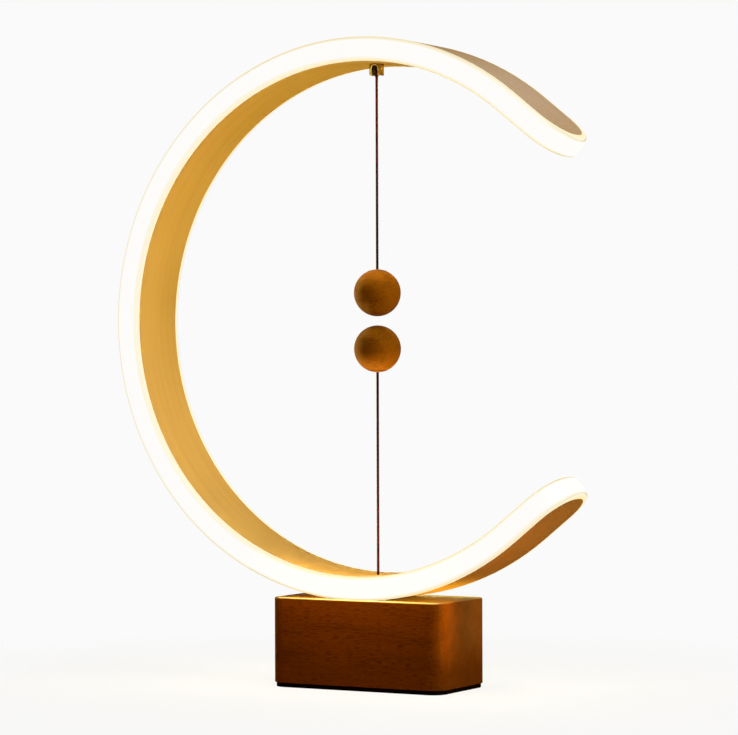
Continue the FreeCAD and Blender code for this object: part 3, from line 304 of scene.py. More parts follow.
def rim_slope(tree, here):
    """The rim's true slope at a place on it. Then the place's distance from the middle of the
    depth, taken round the end of a tip too, and how far it lies into the fillet, first across the
    wall and then along the depth."""
    # The lower half is folded up
    part = add(tree, "ShaderNodeVectorMath", {
        0: here, 1: (RING_X, 0, RING_Z)}, operation="SUBTRACT").outputs[0]
    part = add(tree, "ShaderNodeSeparateXYZ", {0: part}).outputs
    high = add(tree, "ShaderNodeMath", {0: part[2]}, operation="ABSOLUTE").outputs[0]
    fold = add(tree, "ShaderNodeCombineXYZ", {0: part[0], 2: high}).outputs[0]
    # A place on a straight tip is moved back along it to the end of the arc
    tip = (math.sin(TIP_TURN), 0, -math.cos(TIP_TURN))
    run = add(tree, "ShaderNodeVectorMath", {
        0: fold, 1: tip}, operation="DOT_PRODUCT").outputs["Value"]
    run = add(tree, "ShaderNodeMath", {0: run, 1: 0.0}, operation="MAXIMUM").outputs[0]
    back = add(tree, "ShaderNodeVectorMath", {0: tip, "Scale": run}, operation="SCALE").outputs[0]
    flat = add(tree, "ShaderNodeVectorMath", {0: fold, 1: back}, operation="SUBTRACT").outputs[0]
    spoke = add(tree, "ShaderNodeVectorMath", {0: flat}, operation="NORMALIZE").outputs[0]
    # Across the wall, from its middle
    out = add(tree, "ShaderNodeVectorMath", {0: flat}, operation="LENGTH").outputs["Value"]
    out = add(tree, "ShaderNodeMath", {
        0: out, 1: (RING_INNER + RING_OUTER) / 2}, operation="SUBTRACT").outputs[0]
    way = add(tree, "ShaderNodeMath", {0: out}, operation="SIGN").outputs[0]
    bend = add(tree, "ShaderNodeMath", {0: out}, operation="ABSOLUTE").outputs[0]
    bend = add(tree, "ShaderNodeMath", {
        0: bend, 1: (RING_OUTER - RING_INNER) / 2 - RIM_FILLET}, operation="SUBTRACT").outputs[0]
    bend = add(tree, "ShaderNodeMath", {0: bend, 1: 0.0}, operation="MAXIMUM").outputs[0]
    out = add(tree, "ShaderNodeMath", {0: bend, 1: way}, operation="MULTIPLY").outputs[0]
    out = add(tree, "ShaderNodeVectorMath", {0: spoke, "Scale": out}, operation="SCALE").outputs[0]
    # Along the depth, and round the end of the tip
    end = add(tree, "ShaderNodeMath", {0: run, 1: TIP_ROUND}, operation="SUBTRACT").outputs[0]
    end = add(tree, "ShaderNodeMath", {0: end, 1: 0.0}, operation="MAXIMUM").outputs[0]
    side = add(tree, "ShaderNodeVectorMath", {0: tip, "Scale": end}, operation="SCALE").outputs[0]
    depth = add(tree, "ShaderNodeCombineXYZ", {1: part[1]}).outputs[0]
    side = add(tree, "ShaderNodeVectorMath", {0: side, 1: depth}, operation="ADD").outputs[0]
    far = add(tree, "ShaderNodeVectorMath", {0: side}, operation="LENGTH").outputs["Value"]
    side = add(tree, "ShaderNodeVectorMath", {0: side}, operation="NORMALIZE").outputs[0]
    over = add(tree, "ShaderNodeMath", {
        0: far, 1: RING_HALF - RIM_FILLET}, operation="SUBTRACT").outputs[0]
    over = add(tree, "ShaderNodeMath", {0: over, 1: 0.0}, operation="MAXIMUM").outputs[0]
    # The two ways together, and folded back
    slope = add(tree, "ShaderNodeVectorMath", {
        0: side, "Scale": over}, operation="SCALE").outputs[0]
    slope = add(tree, "ShaderNodeVectorMath", {0: slope, 1: out}, operation="ADD").outputs[0]
    half = add(tree, "ShaderNodeMath", {0: part[2]}, operation="SIGN").outputs[0]
    half = add(tree, "ShaderNodeCombineXYZ", {0: 1.0, 1: 1.0, 2: half}).outputs[0]
    slope = add(tree, "ShaderNodeVectorMath", {0: slope, 1: half}, operation="MULTIPLY").outputs[0]
    slope = add(tree, "ShaderNodeVectorMath", {0: slope}, operation="NORMALIZE").outputs[0]
    return slope, far, bend, over


def opal(name):
    """Opal acrylic, extruded and lit from behind: an even white glow that turns pale yellow beside
    the wood and gold in a thin line where the wall is seen edge-on."""
    made, tree, shader = material(
        name, Base_Color=colour("#3A3A3A"), Roughness=0.4, IOR=1.49, Emission_Strength=0.98,
        Coat_Tint=colour("#FAF4E0"), Coat_IOR=1.01, Coat_Roughness=0.4)
    here = add(tree, "ShaderNodeTexCoord").outputs["Object"]
    slope, far, bend, over = rim_slope(tree, here)
    # Faint clouds in the white, which turns pale yellow beside the wood, inside the fillet
    cloud_size, white_from, yellow_to = 9 * MM, 22.6 * MM, 21.8 * MM
    cloud = add(tree, "ShaderNodeTexNoise", {
        "Vector": here, "Scale": 1 / cloud_size, "Detail": 2.0}).outputs[0]
    shade = add(tree, "ShaderNodeMapRange", {0: cloud, 3: 0.985, 4: 1.0}).outputs[0]
    beside = add(tree, "ShaderNodeMapRange", {
        0: far, 1: white_from, 2: yellow_to, 3: 0.0, 4: 1.0}).outputs[0]
    tone = add(tree, "ShaderNodeMix", {
        "Factor": beside, "A": tuple(colours().rim), "B": colour("#FFF2BE")},
        data_type="RGBA").outputs[2]
    even = add(tree, "ShaderNodeVectorMath", {
        0: tone, "Scale": shade}, operation="SCALE").outputs[0]
    tree.links.new(even, shader.inputs["Emission Color"])
    # A warm clear skin on the bend, which looks gold where it is seen edge-on
    most = add(tree, "ShaderNodeMapRange", {0: over, 1: 0.0, 2: 0.8 * MM}).outputs[0]
    skin = add(tree, "ShaderNodeMapRange", {
        0: bend, 1: 0.7 * MM, 2: 2.0 * MM, 4: most}).outputs[0]
    tree.links.new(skin, shader.inputs["Coat Weight"])
    tree.links.new(slope, shader.inputs["Coat Normal"])
    # The bands beside the rim light the room, so no rays are aimed at its many small faces
    made.cycles.emission_sampling = "NONE"
    return made


def speckled(name, tone, metal=0.0, gloss=0.4, grain=0.4 * MM, spread=0.12, depth=0.02 * MM,
             stretch=(1, 1, 1), **more):
    """A finish that is even but for fine grain: cast, moulded, plated or brushed by its stretch."""
    made, tree, shader = material(name, Metallic=metal, **more)
    here = add(tree, "ShaderNodeTexCoord").outputs["Object"]
    here = add(tree, "ShaderNodeMapping", {0: here, "Scale": stretch}).outputs[0]
    noise = add(tree, "ShaderNodeTexNoise", {
        "Vector": here, "Scale": 1 / grain, "Detail": 3.0, "Roughness": 0.6}).outputs[0]
    face = add(tree, "ShaderNodeValToRGB", {0: noise}, stops=[
        (0.3, shaded(tone, 1 - spread)), (0.7, shaded(tone, 1 + spread))]).outputs[0]
    tree.links.new(face, shader.inputs["Base Color"])
    rough = add(tree, "ShaderNodeMapRange", {
        0: noise, 1: 0.3, 2: 0.7, 3: gloss - 0.06, 4: gloss + 0.08}).outputs[0]
    tree.links.new(rough, shader.inputs["Roughness"])
    relief = add(tree, "ShaderNodeBump", {
        "Height": noise, "Strength": 0.4, "Distance": depth}).outputs[0]
    tree.links.new(relief, shader.inputs["Normal"])
    return made


# ---------------------------------------------------------------- cords

# Points of the hanging cords, in millimetres: from the hook's loop, and from over the floor of
# the ring, to the knot in the ball
UPPER_ROUTE = [(0, 0, 374.6), (0, 0, 364.569), (0, 0, 310.0), (0, 0, 247.1)]
LOWER_ROUTE = [(0, 0, 75.0), (0, 0, 85.151), (0, 0, 138.0), (0, 0, 201.9)]
KNOT_REACH, KNOT_CORD = 1.35 * MM, 1.1 * MM


def laid_cord_tree():
    """Strands twisted round a path, with closed ends."""
    tree, given = geometry_tree("Laid cord", [
        ("Strand Radius", "Float"), ("Strand Offset", "Float"), ("Strands", "Int"),
        ("Lay", "Float"), ("Step", "Float"), ("Material", "Material")])
    path = add(tree, "GeometryNodeMeshToCurve", {0: given["Geometry"]}).outputs[0]
    path = add(tree, "GeometryNodeResampleCurve", {
        "Curve": path, "Length": given["Step"]}, mode="LENGTH").outputs[0]
    run = add(tree, "GeometryNodeSplineParameter").outputs["Length"]
    turns = add(tree, "ShaderNodeMath", {0: run, 1: given["Lay"]}, operation="DIVIDE").outputs[0]
    tilt = add(tree, "ShaderNodeMath", {0: turns, 1: math.tau}, operation="MULTIPLY").outputs[0]
    path = add(tree, "GeometryNodeSetCurveTilt", {"Curve": path, "Tilt": tilt}).outputs[0]
    places = add(tree, "GeometryNodeCurvePrimitiveCircle", {
        "Resolution": given["Strands"], "Radius": given["Strand Offset"]}).outputs[0]
    strand = add(tree, "GeometryNodeCurvePrimitiveCircle", {
        "Resolution": 9, "Radius": given["Strand Radius"]}).outputs[0]
    bundle = add(tree, "GeometryNodeInstanceOnPoints", {
        "Points": places, "Instance": strand}).outputs[0]
    bundle = add(tree, "GeometryNodeRealizeInstances", {0: bundle}).outputs[0]
    tube = add(tree, "GeometryNodeCurveToMesh", {
        "Curve": path, "Profile Curve": bundle, "Fill Caps": True}).outputs[0]
    tube = add(tree, "GeometryNodeSetShadeSmooth", {0: tube}).outputs[0]
    give_out(tree, tube, given["Material"])
    return tree


def cord_finish():
    """Waxed cotton, laid in strands: a satin fibre with a little fuzz and darker grooves."""
    made = bpy.data.materials.get("waxed_cotton_cord")
    return made or speckled(
        "waxed_cotton_cord", colours().cord, gloss=0.55, grain=0.25 * MM, spread=0.35,
        depth=0.05 * MM, Specular_IOR_Level=0.08)


def laid_cord(name, points, diameter, closed=False):
    """A twisted cord along close points, as a plain mesh."""
    made = cord_finish()
    piece = path_mesh(name, points, closed)
    tree = bpy.data.node_groups.get("Laid cord") or laid_cord_tree()
    strands = sizes().strands
    # Strands that only touch, made a little thicker, so that they press into each other
    thick, press = diameter / 2 / (1 + 1 / math.sin(math.pi / strands)), 1.15
    lay, steps = sizes().lay * diameter / sizes().cord, 14
    grow(piece, tree, {
        "Strand Radius": thick * press, "Strand Offset": diameter / 2 - thick,
        "Strands": strands, "Lay": lay, "Step": lay / steps, "Material": made})
    return settled(piece, name)


def smooth_line(name, route):
    """Close points along the NURBS spline that has the route as its control points."""
    curve = bpy.data.curves.new(name, "CURVE")
    curve.dimensions = "3D"
    curve.resolution_u = 24
    spline = curve.splines.new("NURBS")
    spline.points.add(len(route) - 1)
    for point, place in zip(spline.points, route):
        point.co = (*place, 1.0)
    spline.order_u = 3
    spline.use_endpoint_u = True
    holder = bpy.data.objects.new(name, curve)
    bpy.context.scene.collection.objects.link(holder)
    view = bpy.context.evaluated_depsgraph_get()
    mesh = bpy.data.meshes.new_from_object(holder.evaluated_get(view))
    points = [v.co.copy() for v in mesh.vertices]
    bpy.data.objects.remove(holder)
    bpy.data.meshes.remove(mesh)
    return points


def overhand(centre, reach):
    """Close points of an overhand knot, in a ball of that reach."""
    return [centre + reach / 3 * Vector((
        math.sin(t) + 2 * math.sin(2 * t), math.cos(t) - 2 * math.cos(2 * t),
        -math.sin(3 * t))) for t in round_turns(72)]


def end_knot(name, place):
    """The knot at a cord's end, in which the cord is pulled thin."""
    return laid_cord(name, overhand(place, KNOT_REACH), KNOT_CORD, closed=True)


def upright_cord(name, start, end, diameter):
    """A straight cord on the axis of the balls, from one height to another."""
    return laid_cord(name, smooth_line(name + "_line", [
        (0, 0, start), (0, 0, (start + end) / 2), (0, 0, end)]), diameter)


def hanging_cord(name, node, body, route):
    """A cord that swings with its ball, and the knot inside the ball."""
    route = [Vector(p) * MM for p in route]
    points = smooth_line(name + "_line", route)
    cord = laid_cord(name, points, sizes().cord)
    knot = end_knot(name + "_knot", route[-1])
    for piece in (cord, knot):
        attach(piece, body)
    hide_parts(node)


class LAMP_OT_cords(bpy.types.Operator):
    """Twisted cords from the hook's loop and from the floor of the ring, into the two balls"""
    bl_idname = "lamp.cords"
    bl_label = "Hanging Cords"

    def execute(self, context):
        hanging_cord("upper_twisted_cord", "upper_cord", "upper_pendulum", UPPER_ROUTE)
        hanging_cord("lower_twisted_cord", "lower_cord", "lower_pendulum", LOWER_ROUTE)
        return {"FINISHED"}


class LAMP_OT_loops(bpy.types.Operator):
    """Cord loop on the hook's pin, the cord's foot over the switch and the pull cord inside"""
    bl_idname = "lamp.loops"
    bl_label = "Loop and Foot"

    def execute(self, context):
        # The loop goes round the pin
        pin = Vector((0, 0, HINGE["upper_swing_front"]))
        loop_radius, loop_cord = 1.48 * MM, 1.2 * MM
        ring = [pin + loop_radius * Vector((0, math.sin(t), math.cos(t))) for t in round_turns(48)]
        loop = laid_cord("upper_hook_loop", ring, loop_cord, closed=True)
        # A whipping of thin thread closes it, widest a little above the middle
        top, drop, thread = 377.25 * MM, 2.85 * MM, 0.5 * MM
        widest, taper, belly = 1.22 * MM, 0.55 * MM, 0.4
        rounds, steps = 7, 7 * 16
        turns = []
        for step in range(steps + 1):
            share = step / steps
            wide = widest - taper * abs(share - belly)
            turn = math.tau * share * rounds
            turns.append(Vector((wide * math.cos(turn), wide * math.sin(turn), top - drop * share)))
        whipping = laid_cord("upper_loop_whipping", turns, thread)
        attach(loop, "upper_loop")
        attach(whipping, "upper_loop")
        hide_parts("upper_cord_loop")
        low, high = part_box("lower_cord_foot")
        foot = upright_cord("lower_foot_cord", low.z, high.z, sizes().cord)
        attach(foot, "lower_foot")
        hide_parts("lower_cord_foot")
        # The pull cord starts in the middle of its knot
        low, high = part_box("switch_cord")
        tied = low.z + 2 * MM
        pull = upright_cord("switch_pull_cord", tied, high.z, sizes().cord)
        knot = end_knot("switch_pull_knot", Vector((0, 0, tied)))
        for piece in (pull, knot):
            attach(piece, "switch_slider")
        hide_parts("switch_cord")
        return {"FINISHED"}


class LAMP_OT_bends(bpy.types.Operator):
    """Short straight lengths of cord over the three hinges"""
    bl_idname = "lamp.bends"
    bl_label = "Bending Lengths"

    def execute(self, context):
        quarter = sizes().lay / sizes().strands
        cover, reach = 1.03, 0.8 * MM
        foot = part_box("lower_cord_foot")[0].z
        # Each begins one strand's share of a twist before the cord it meets, so that their
        # strands line up
        for name, start, way, first, second, joint in (
                ("upper_hook_bend", UPPER_ROUTE[0][2] * MM, -1, "upper_loop", "upper_pendulum",
                 "upper_swing_side"),
                ("lower_foot_bend", foot, 1, "switch_slider", "lower_foot", "lower_swing_front"),
                ("lower_cord_bend", LOWER_ROUTE[0][2] * MM, 1, "lower_foot", "lower_pendulum",
                 "lower_swing_side")):
            bend = upright_cord(
                name, start - way * quarter, start + way * 2 * quarter, sizes().cord * cover)
            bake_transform(bend)
        return {"FINISHED"}


# ---------------------------------------------------------------- the solids' finishes

class LAMP_OT_wood(bpy.types.Operator):
    """Walnut base, amber veneer strips, plywood core, turned balls and hook block"""
    bl_idname = "lamp.wood"
    bl_label = "Wood"

    def execute(self, context):
        # Walnut, milled and oiled: dark streaks along the base with open pores
        wear(["base_body"], wood(
            "oiled_walnut", colours().walnut, streak=26 * MM, line=0.9 * MM, contrast=0.35,
            pore=0.5 * MM, pores=0.85, gloss=0.45, gleam=0.12, polish=1.0))
        # Maple veneer, amber lacquer: pale streaks that follow the bend
        wear(["inner_wood_strip", "outer_wood_strip"], wood(
            "lacquered_maple_veneer", colours().veneer, streak=70 * MM, line=0.7 * MM,
            contrast=0.1, place=bent_place, pores=0.05, gleam=0.15))
        # Birch plywood, bent and left raw: dull, with lines that follow the bend
        wear(["ring_core"], wood(
            "birch_plywood", colour("#C9A36B"), streak=60 * MM, line=1.0 * MM, contrast=0.3,
            place=bent_place))
        # Cherry, turned and waxed: strong streaks across the ball, with a low shine
        wear(["upper_ball", "lower_ball", "upper_ball_plug", "lower_ball_plug"], wood(
            "turned_cherry", colours().ball, streak=26 * MM, line=0.9 * MM, contrast=0.45,
            pores=0.5, gloss=0.5, gleam=0.12))
        # Beech, sawn and lacquered: short fine grain with little contrast
        wear(["hook_block"], wood(
            "lacquered_beech", colour("#8A6218"), streak=18 * MM, line=0.8 * MM, contrast=0.25))
        return {"FINISHED"}


class LAMP_OT_rim(bpy.types.Operator):
    """Opal rim and the light boards behind it"""
    bl_idname = "lamp.rim"
    bl_label = "Light Rim"

    def execute(self, context):
        wear(["rim_diffuser"], opal("opal_acrylic"))
        # White solder mask over copper: smooth and faintly glossy
        wear(["led_board_front", "led_board_back"], speckled(
            "white_solder_mask", colour("#E6E6E0"), gloss=0.35, grain=0.3 * MM, spread=0.03))
        # Phosphor in clear silicone: a yellow dome that glows when lit. The rim hides it, so no
        # rays are aimed at it
        phosphor = speckled(
            "phosphor_silicone", colour("#E8C85A"), gloss=0.3, grain=0.5 * MM, spread=0.06,
            Emission_Color=colour("#FFE9B8"), Emission_Strength=1.0)
        phosphor.cycles.emission_sampling = "NONE"
        wear(["leds_front", "leds_back"], phosphor)
        # PVC, extruded round the wire: pale and smooth
        wear(["led_wire_front", "led_wire_back"], speckled(
            "pvc_wire_jacket", colour("#D8D4CC"), grain=0.6 * MM, spread=0.04))
        return {"FINISHED"}


class LAMP_OT_hardware(bpy.types.Operator):
    """Steel, brass, magnets, plastics and the control board"""
    bl_idname = "lamp.hardware"
    bl_label = "Hardware"

    def execute(self, context):
        # Zinc-plated steel: grey with a fine even grain
        wear(["bottom_screws", "ballast_screws", "board_screws", "switch_screws", "ring_screws",
              "switch_spring", "usb_socket"], speckled(
            "zinc_plated_steel", colour("#B4B6B8"), metal=1.0, gloss=0.32, grain=0.3 * MM,
            spread=0.06))
        # Cast iron, tumbled: dark, coarse and dull
        wear(["ballast"], speckled(
            "cast_iron", colour("#4A4A4C"), metal=1.0, gloss=0.6, grain=0.8 * MM, spread=0.15,
            depth=0.12 * MM))
        # Nickel-plated neodymium: bright and smooth
        wear(["upper_magnet", "lower_magnet"], speckled(
            "nickel_plated_magnet", colour("#C8C4BC"), metal=1.0, gloss=0.16, grain=0.5 * MM,
            spread=0.03))
        # Brass, drawn: warm with fine lines along the pin
        wear(["hook_pin", "switch_contacts"], speckled(
            "drawn_brass", colour("#8A6A34"), metal=1.0, gloss=0.4, grain=0.2 * MM,
            spread=0.08, stretch=(0.1, 1, 1)))
        # ABS, moulded with a spark-eroded texture
        wear(["bottom_plate", "switch_case"], speckled(
            "moulded_black_abs", colour("#17171A"), gloss=0.5, grain=0.45 * MM, depth=0.03 * MM))
        # Nylon, moulded and undyed: ivory, with a soft sheen
        wear(["switch_cap", "switch_plunger"], speckled(
            "moulded_ivory_nylon", colour("#D9D2BE"), gloss=0.42, grain=0.5 * MM, spread=0.04))
        # Fibreglass board under green solder mask: glossy and faintly mottled
        wear(["control_board"], speckled(
            "green_solder_mask", colour("#1F5A34"), gloss=0.3, grain=0.7 * MM, spread=0.15))
        # Filled epoxy, moulded: black and slightly dull
        wear(["board_parts"], speckled(
            "moulded_epoxy_package", colour("#1B1B1D"), gloss=0.45, grain=0.3 * MM, spread=0.1))
        return {"FINISHED"}


# ---------------------------------------------------------------- mat and trim

MAT_HOLLOW = 0.8 * MM


def bead_tree():
    """A thin round bead along a path."""
    tree, given = geometry_tree("Bead", [("Radius", "Float"), ("Material", "Material")])
    path = add(tree, "GeometryNodeMeshToCurve", {0: given["Geometry"]}).outputs[0]
    section = add(tree, "GeometryNodeCurvePrimitiveCircle", {
        "Resolution": 10, "Radius": given["Radius"]}).outputs[0]
    tube = add(tree, "GeometryNodeCurveToMesh", {
        "Curve": path, "Profile Curve": section, "Fill Caps": True}).outputs[0]
    tube = add(tree, "GeometryNodeSetShadeSmooth", {0: tube}).outputs[0]
    give_out(tree, tube, given["Material"])
    return tree


def bead(name, points, radius, made, closed=False):
    """A thin round bead along the points, as a plain mesh."""
    tree = bpy.data.node_groups.get("Bead") or bead_tree()
    host = path_mesh(name, points, closed)
    return settled(grow(host, tree, {"Radius": radius, "Material": made}), name)


def row_tree():
    """Round bars side by side in a row, each along Y."""
    tree, given = geometry_tree("Row of bars", [
        ("Count", "Int"), ("Start", "Vector"), ("Spacing", "Vector"), ("Radius", "Float"),
        ("Length", "Float"), ("Material", "Material")])
    places = add(tree, "GeometryNodeMeshLine", {
        "Count": given["Count"], "Start Location": given["Start"], "Offset": given["Spacing"]},
        mode="OFFSET").outputs[0]
    bar = add(tree, "GeometryNodeMeshCylinder", {
        "Vertices": 12, "Radius": given["Radius"], "Depth": given["Length"]}).outputs[0]
    row = add(tree, "GeometryNodeInstanceOnPoints", {
        "Points": places, "Instance": bar, "Rotation": (math.pi / 2, 0, 0)}).outputs[0]
    give_out(tree, row, given["Material"])
    return tree


def bar_row(name, count, start, spacing, radius, length, made):
    """A row of round bars, as a plain mesh."""
    tree = bpy.data.node_groups.get("Row of bars") or row_tree()
    return settled(grow(new_mesh(name + "_host", [], []), tree, {
        "Count": count, "Start": start, "Spacing": spacing, "Radius": radius, "Length": length,
        "Material": made}), name)


def mat_shell(low, high):
    """Points and faces of the mat: round corners, a small chamfer and an edge round a hollow."""
    middle, half = (low + high) / 2, (high - low) / 2
    corner, turns = 9 * MM, 10
    chamfer, edge, draft = 0.3 * MM, 2 * MM, 0.2 * MM
    levels = (
        (0, high.z), (0, low.z + chamfer), (chamfer, low.z), (edge, low.z),
        (edge + draft, low.z + MAT_HOLLOW))
    points, faces = [], []
    for inset, z in levels:
        for x_side, y_side, first in ((1, -1, -90), (1, 1, 0), (-1, 1, 90), (-1, -1, 180)):
            for step in range(turns + 1):
                turn = math.radians(first + 90 * step / turns)
                points.append((
                    middle.x + x_side * (half.x - corner) + (corner - inset) * math.cos(turn),
                    middle.y + y_side * (half.y - corner) + (corner - inset) * math.sin(turn),
                    z))
    count = 4 * (turns + 1)
    last = count * (len(levels) - 1)
    for a in range(0, last, count):
        for i in range(count):
            j = (i + 1) % count
            faces.append((a + count + i, a + count + j, a + j, a + i))
    faces.append(tuple(range(count)))
    faces.append(tuple(last + i for i in reversed(range(count))))
    return points, faces


class LAMP_OT_mat(bpy.types.Operator):
    """Rubber mat with a raised edge and half-round ribs under it"""
    bl_idname = "lamp.mat"
    bl_label = "Ribbed Mat"

    def execute(self, context):
        # Silicone rubber, pressed: matt and faintly pebbled
        rubber = speckled(
            "pressed_silicone_rubber", colour("#0A0404"), gloss=0.8, grain=0.5 * MM, spread=0.2,
            depth=0.06 * MM, Specular_IOR_Level=0.05)
        low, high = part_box("foot_mat")
        half = (high - low) / 2
        mat = new_mesh("ribbed_mat", *mat_shell(low, high), made=rubber)
        margin_x, margin_y, radius = 5 * MM, 4.5 * MM, 0.74 * MM
        gap = sizes().ribs
        count = int(2 * (half.x - margin_x) / gap) + 1
        ribs = bar_row(
            "mat_ribs", count, (-(count - 1) * gap / 2, 0, low.z + MAT_HOLLOW), (gap, 0, 0),
            radius, 2 * (half.y - margin_y), rubber)
        for piece in (mat, ribs):
            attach(piece, "lamp")
        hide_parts("foot_mat")
        return {"FINISHED"}


def arch_line(reach, y):
    """Points up one side of the hook's arch, over its round top and down the other side."""
    foot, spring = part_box("hook_block")[0].z + 0.1 * MM, 379.05 * MM
    turns = [math.pi - math.pi * i / 20 for i in range(21)]
    return [Vector((-reach, y, foot))] + [
        Vector((reach * math.cos(t), y, spring + reach * math.sin(t))) for t in turns
    ] + [Vector((reach, y, foot))]


def arch_trim(dark):
    """Painted highlight: pale beads round the arch's mouths. Painted shade: a dark sheet inside."""
    # A pale bead, a painted highlight on the edge of each mouth
    pale = speckled("painted_arch_highlight", colour("#F6EBC8"), gloss=0.35, spread=0.05)
    low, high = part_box("hook_block")
    half_width, bead_radius = 2.4 * MM, 0.22 * MM
    for name, y in (("arch_highlight_front", low.y), ("arch_highlight_back", high.y)):
        trim = bead(name, arch_line(half_width + 0.1 * MM, y), bead_radius, pale)
        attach(trim, "lamp")
    # A thin dark sheet inside the slot: painted shade over its walls
    inside, inset, thickness = 0.06 * MM, 0.02 * MM, 0.05 * MM
    front = arch_line(half_width - inside, low.y + inset)
    back = arch_line(half_width - inside, high.y - inset)
    count = len(front)
    shade_sheet = new_mesh(
        "arch_shade_sheet", front + back,
        [(i, i + 1, count + i + 1, count + i) for i in range(count - 1)], made=dark)
    shade_sheet.modifiers.new("thickness", "SOLIDIFY").thickness = thickness
    shade_sheet = settled(shade_sheet, "arch_shade_sheet")
    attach(shade_sheet, "lamp")


def plug_seams(dark):
    """A fine dark line where each plug is glued into its ball."""
    plug_radius, seam_radius = 5.5 * MM, 0.2 * MM
    for name, body, level in (
            ("upper_plug_seam", "upper_pendulum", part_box("upper_ball")[1].z),
            ("lower_plug_seam", "lower_pendulum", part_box("lower_ball")[0].z)):
        seam = bead(name, [
            Vector((plug_radius * math.cos(t), plug_radius * math.sin(t), level))
            for t in round_turns(48)], seam_radius, dark, closed=True)
        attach(seam, body)


def socket_contacts():
    """Gold-plated contacts on the tongue of the power socket."""
    # Gold over nickel, plated: bright, yellow and almost even
    gold = speckled(
        "gold_plated_contact", colour("#D9A73A"), metal=1.0, gloss=0.22, spread=0.05)
    low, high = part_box("usb_socket")
    count, pitch, radius, length = 5, 0.8 * MM, 0.15 * MM, 3.4 * MM
    set_back, rise = 2.3 * MM, 0.4 * MM
    contacts = bar_row(
        "socket_contacts", count,
        (-pitch * (count - 1) / 2, high.y - set_back, (low.z + high.z) / 2 + rise),
        (pitch, 0, 0), radius, length, gold)
    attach(contacts, "lamp")


class LAMP_OT_trim(bpy.types.Operator):
    """Painted highlight and painted shade of the hook's arch, plug seams and socket contacts"""
    bl_idname = "lamp.trim"
    bl_label = "Trim"

    def execute(self, context):
        # Dark beech: painted shade inside the cut slot, and the dark of the glue lines
        dark = speckled("slot_shade_and_glue_line", colour("#241204"), gloss=0.7, spread=0.2)
        arch_trim(dark)
        plug_seams(dark)
        socket_contacts()
        return {"FINISHED"}


# ---------------------------------------------------------------- stage

def directly_seen(tree):
    """One for what the camera sees, also through clear pieces, and none for the light it gives."""
    ray = add(tree, "ShaderNodeLightPath").outputs
    return add(tree, "ShaderNodeMath", {
        0: ray["Is Camera Ray"], 1: ray["Is Transmission Ray"]}, operation="MAXIMUM").outputs[0]


def pale_world():
    """A world that looks nearly white and gives a dim warm light."""
    world = bpy.data.worlds.new("pale_studio")
    tree = bare_tree(world)
    dim = add(tree, "ShaderNodeBackground", {"Color": colour("#FFD890"), "Strength": 0.16})
    white = add(tree, "ShaderNodeBackground", {"Color": colour("#FAFAFA"), "Strength": 1.0})
    sky = add(tree, "ShaderNodeMixShader", {
        0: directly_seen(tree), 1: dim.outputs[0], 2: white.outputs[0]}).outputs[0]
    add(tree, "ShaderNodeOutputWorld", {0: sky})
    return world


def pale_floor():
    """A floor that keeps a faint shadow near the lamp and is as white as the world further off."""
    made = bpy.data.materials.new("pale_floor")
    tree = bare_tree(made)
    seen = directly_seen(tree)
    here = add(tree, "ShaderNodeTexCoord").outputs["Object"]
    away = add(tree, "ShaderNodeVectorMath", {0: here}, operation="LENGTH").outputs["Value"]
    # Distances from the lamp in metres, and how much of the floor is plain white there
    near, far, near_share = 0.12, 0.4, 0.9
    plain = add(tree, "ShaderNodeMapRange", {
        0: away, 1: near, 2: far, 3: near_share, 4: 1.0}).outputs[0]
    share = add(tree, "ShaderNodeMath", {0: seen, 1: plain}, operation="MULTIPLY").outputs[0]
    # The floor throws back some of the lamp's warm light
    paint = add(tree, "ShaderNodeMix", {
        "Factor": seen, "A": colour("#8A6A2C"), "B": colour("#F4F4F4")}, data_type="RGBA")
    matt = add(tree, "ShaderNodeBsdfDiffuse", {"Color": paint.outputs[2]}).outputs[0]
    white = add(tree, "ShaderNodeEmission", {
        "Color": colour("#FAFAFA"), "Strength": 1.0}).outputs[0]
    floor = add(tree, "ShaderNodeMixShader", {0: share, 1: matt, 2: white}).outputs[0]
    add(tree, "ShaderNodeOutputMaterial", {"Surface": floor})
    # Half its width, in metres
    half = 40.0
    return new_mesh(
        "floor", [(-half, -half, 0), (half, -half, 0), (half, half, 0), (-half, half, 0)],
        [(0, 1, 2, 3)], made=made)


def rim_line(radius, steps=72):
    """Points along the C of the ring, from near the end of the high tip to that of the low one."""
    turns = [TIP_TURN + (math.tau - 2 * TIP_TURN) * step / steps for step in range(steps + 1)]
    arc = [Vector((RING_X + radius * math.cos(t), 0, RING_Z + radius * math.sin(t)))
           for t in turns]
    tip_reach = 43 * MM
    high = tip_reach * Vector((math.sin(TIP_TURN), 0, -math.cos(TIP_TURN)))
    low = Vector((high.x, 0, -high.z))
    return [arc[0] + high, arc[0] + high / 2, *arc, arc[-1] + low / 2, arc[-1] + low]


def level_line(ends, z):
    """Two points at one height, at these places along X."""
    return [Vector((x, 0, z)) for x in ends]


def light_band(name, line_a, y_a, line_b, y_b, strength, tone):
    """A strip of light between two lines, seen by the object and never by the camera."""
    points = [p + Vector((0, y_a, 0)) for p in line_a]
    points += [p + Vector((0, y_b, 0)) for p in line_b]
    count = len(line_a)
    faces = [(i, i + 1, count + i + 1, count + i) for i in range(count - 1)]
    made = bpy.data.materials.new(name)
    tree = bare_tree(made)
    behind = add(tree, "ShaderNodeNewGeometry").outputs["Backfacing"]
    glow = add(tree, "ShaderNodeEmission", {"Color": tone, "Strength": strength}).outputs[0]
    clear = add(tree, "ShaderNodeBsdfTransparent").outputs[0]
    sided = add(tree, "ShaderNodeMixShader", {0: behind, 1: glow, 2: clear}).outputs[0]
    add(tree, "ShaderNodeOutputMaterial", {"Surface": sided})
    band = new_mesh(name, points, faces, made=made)
    band.visible_camera = False
    band.visible_shadow = False
    return band


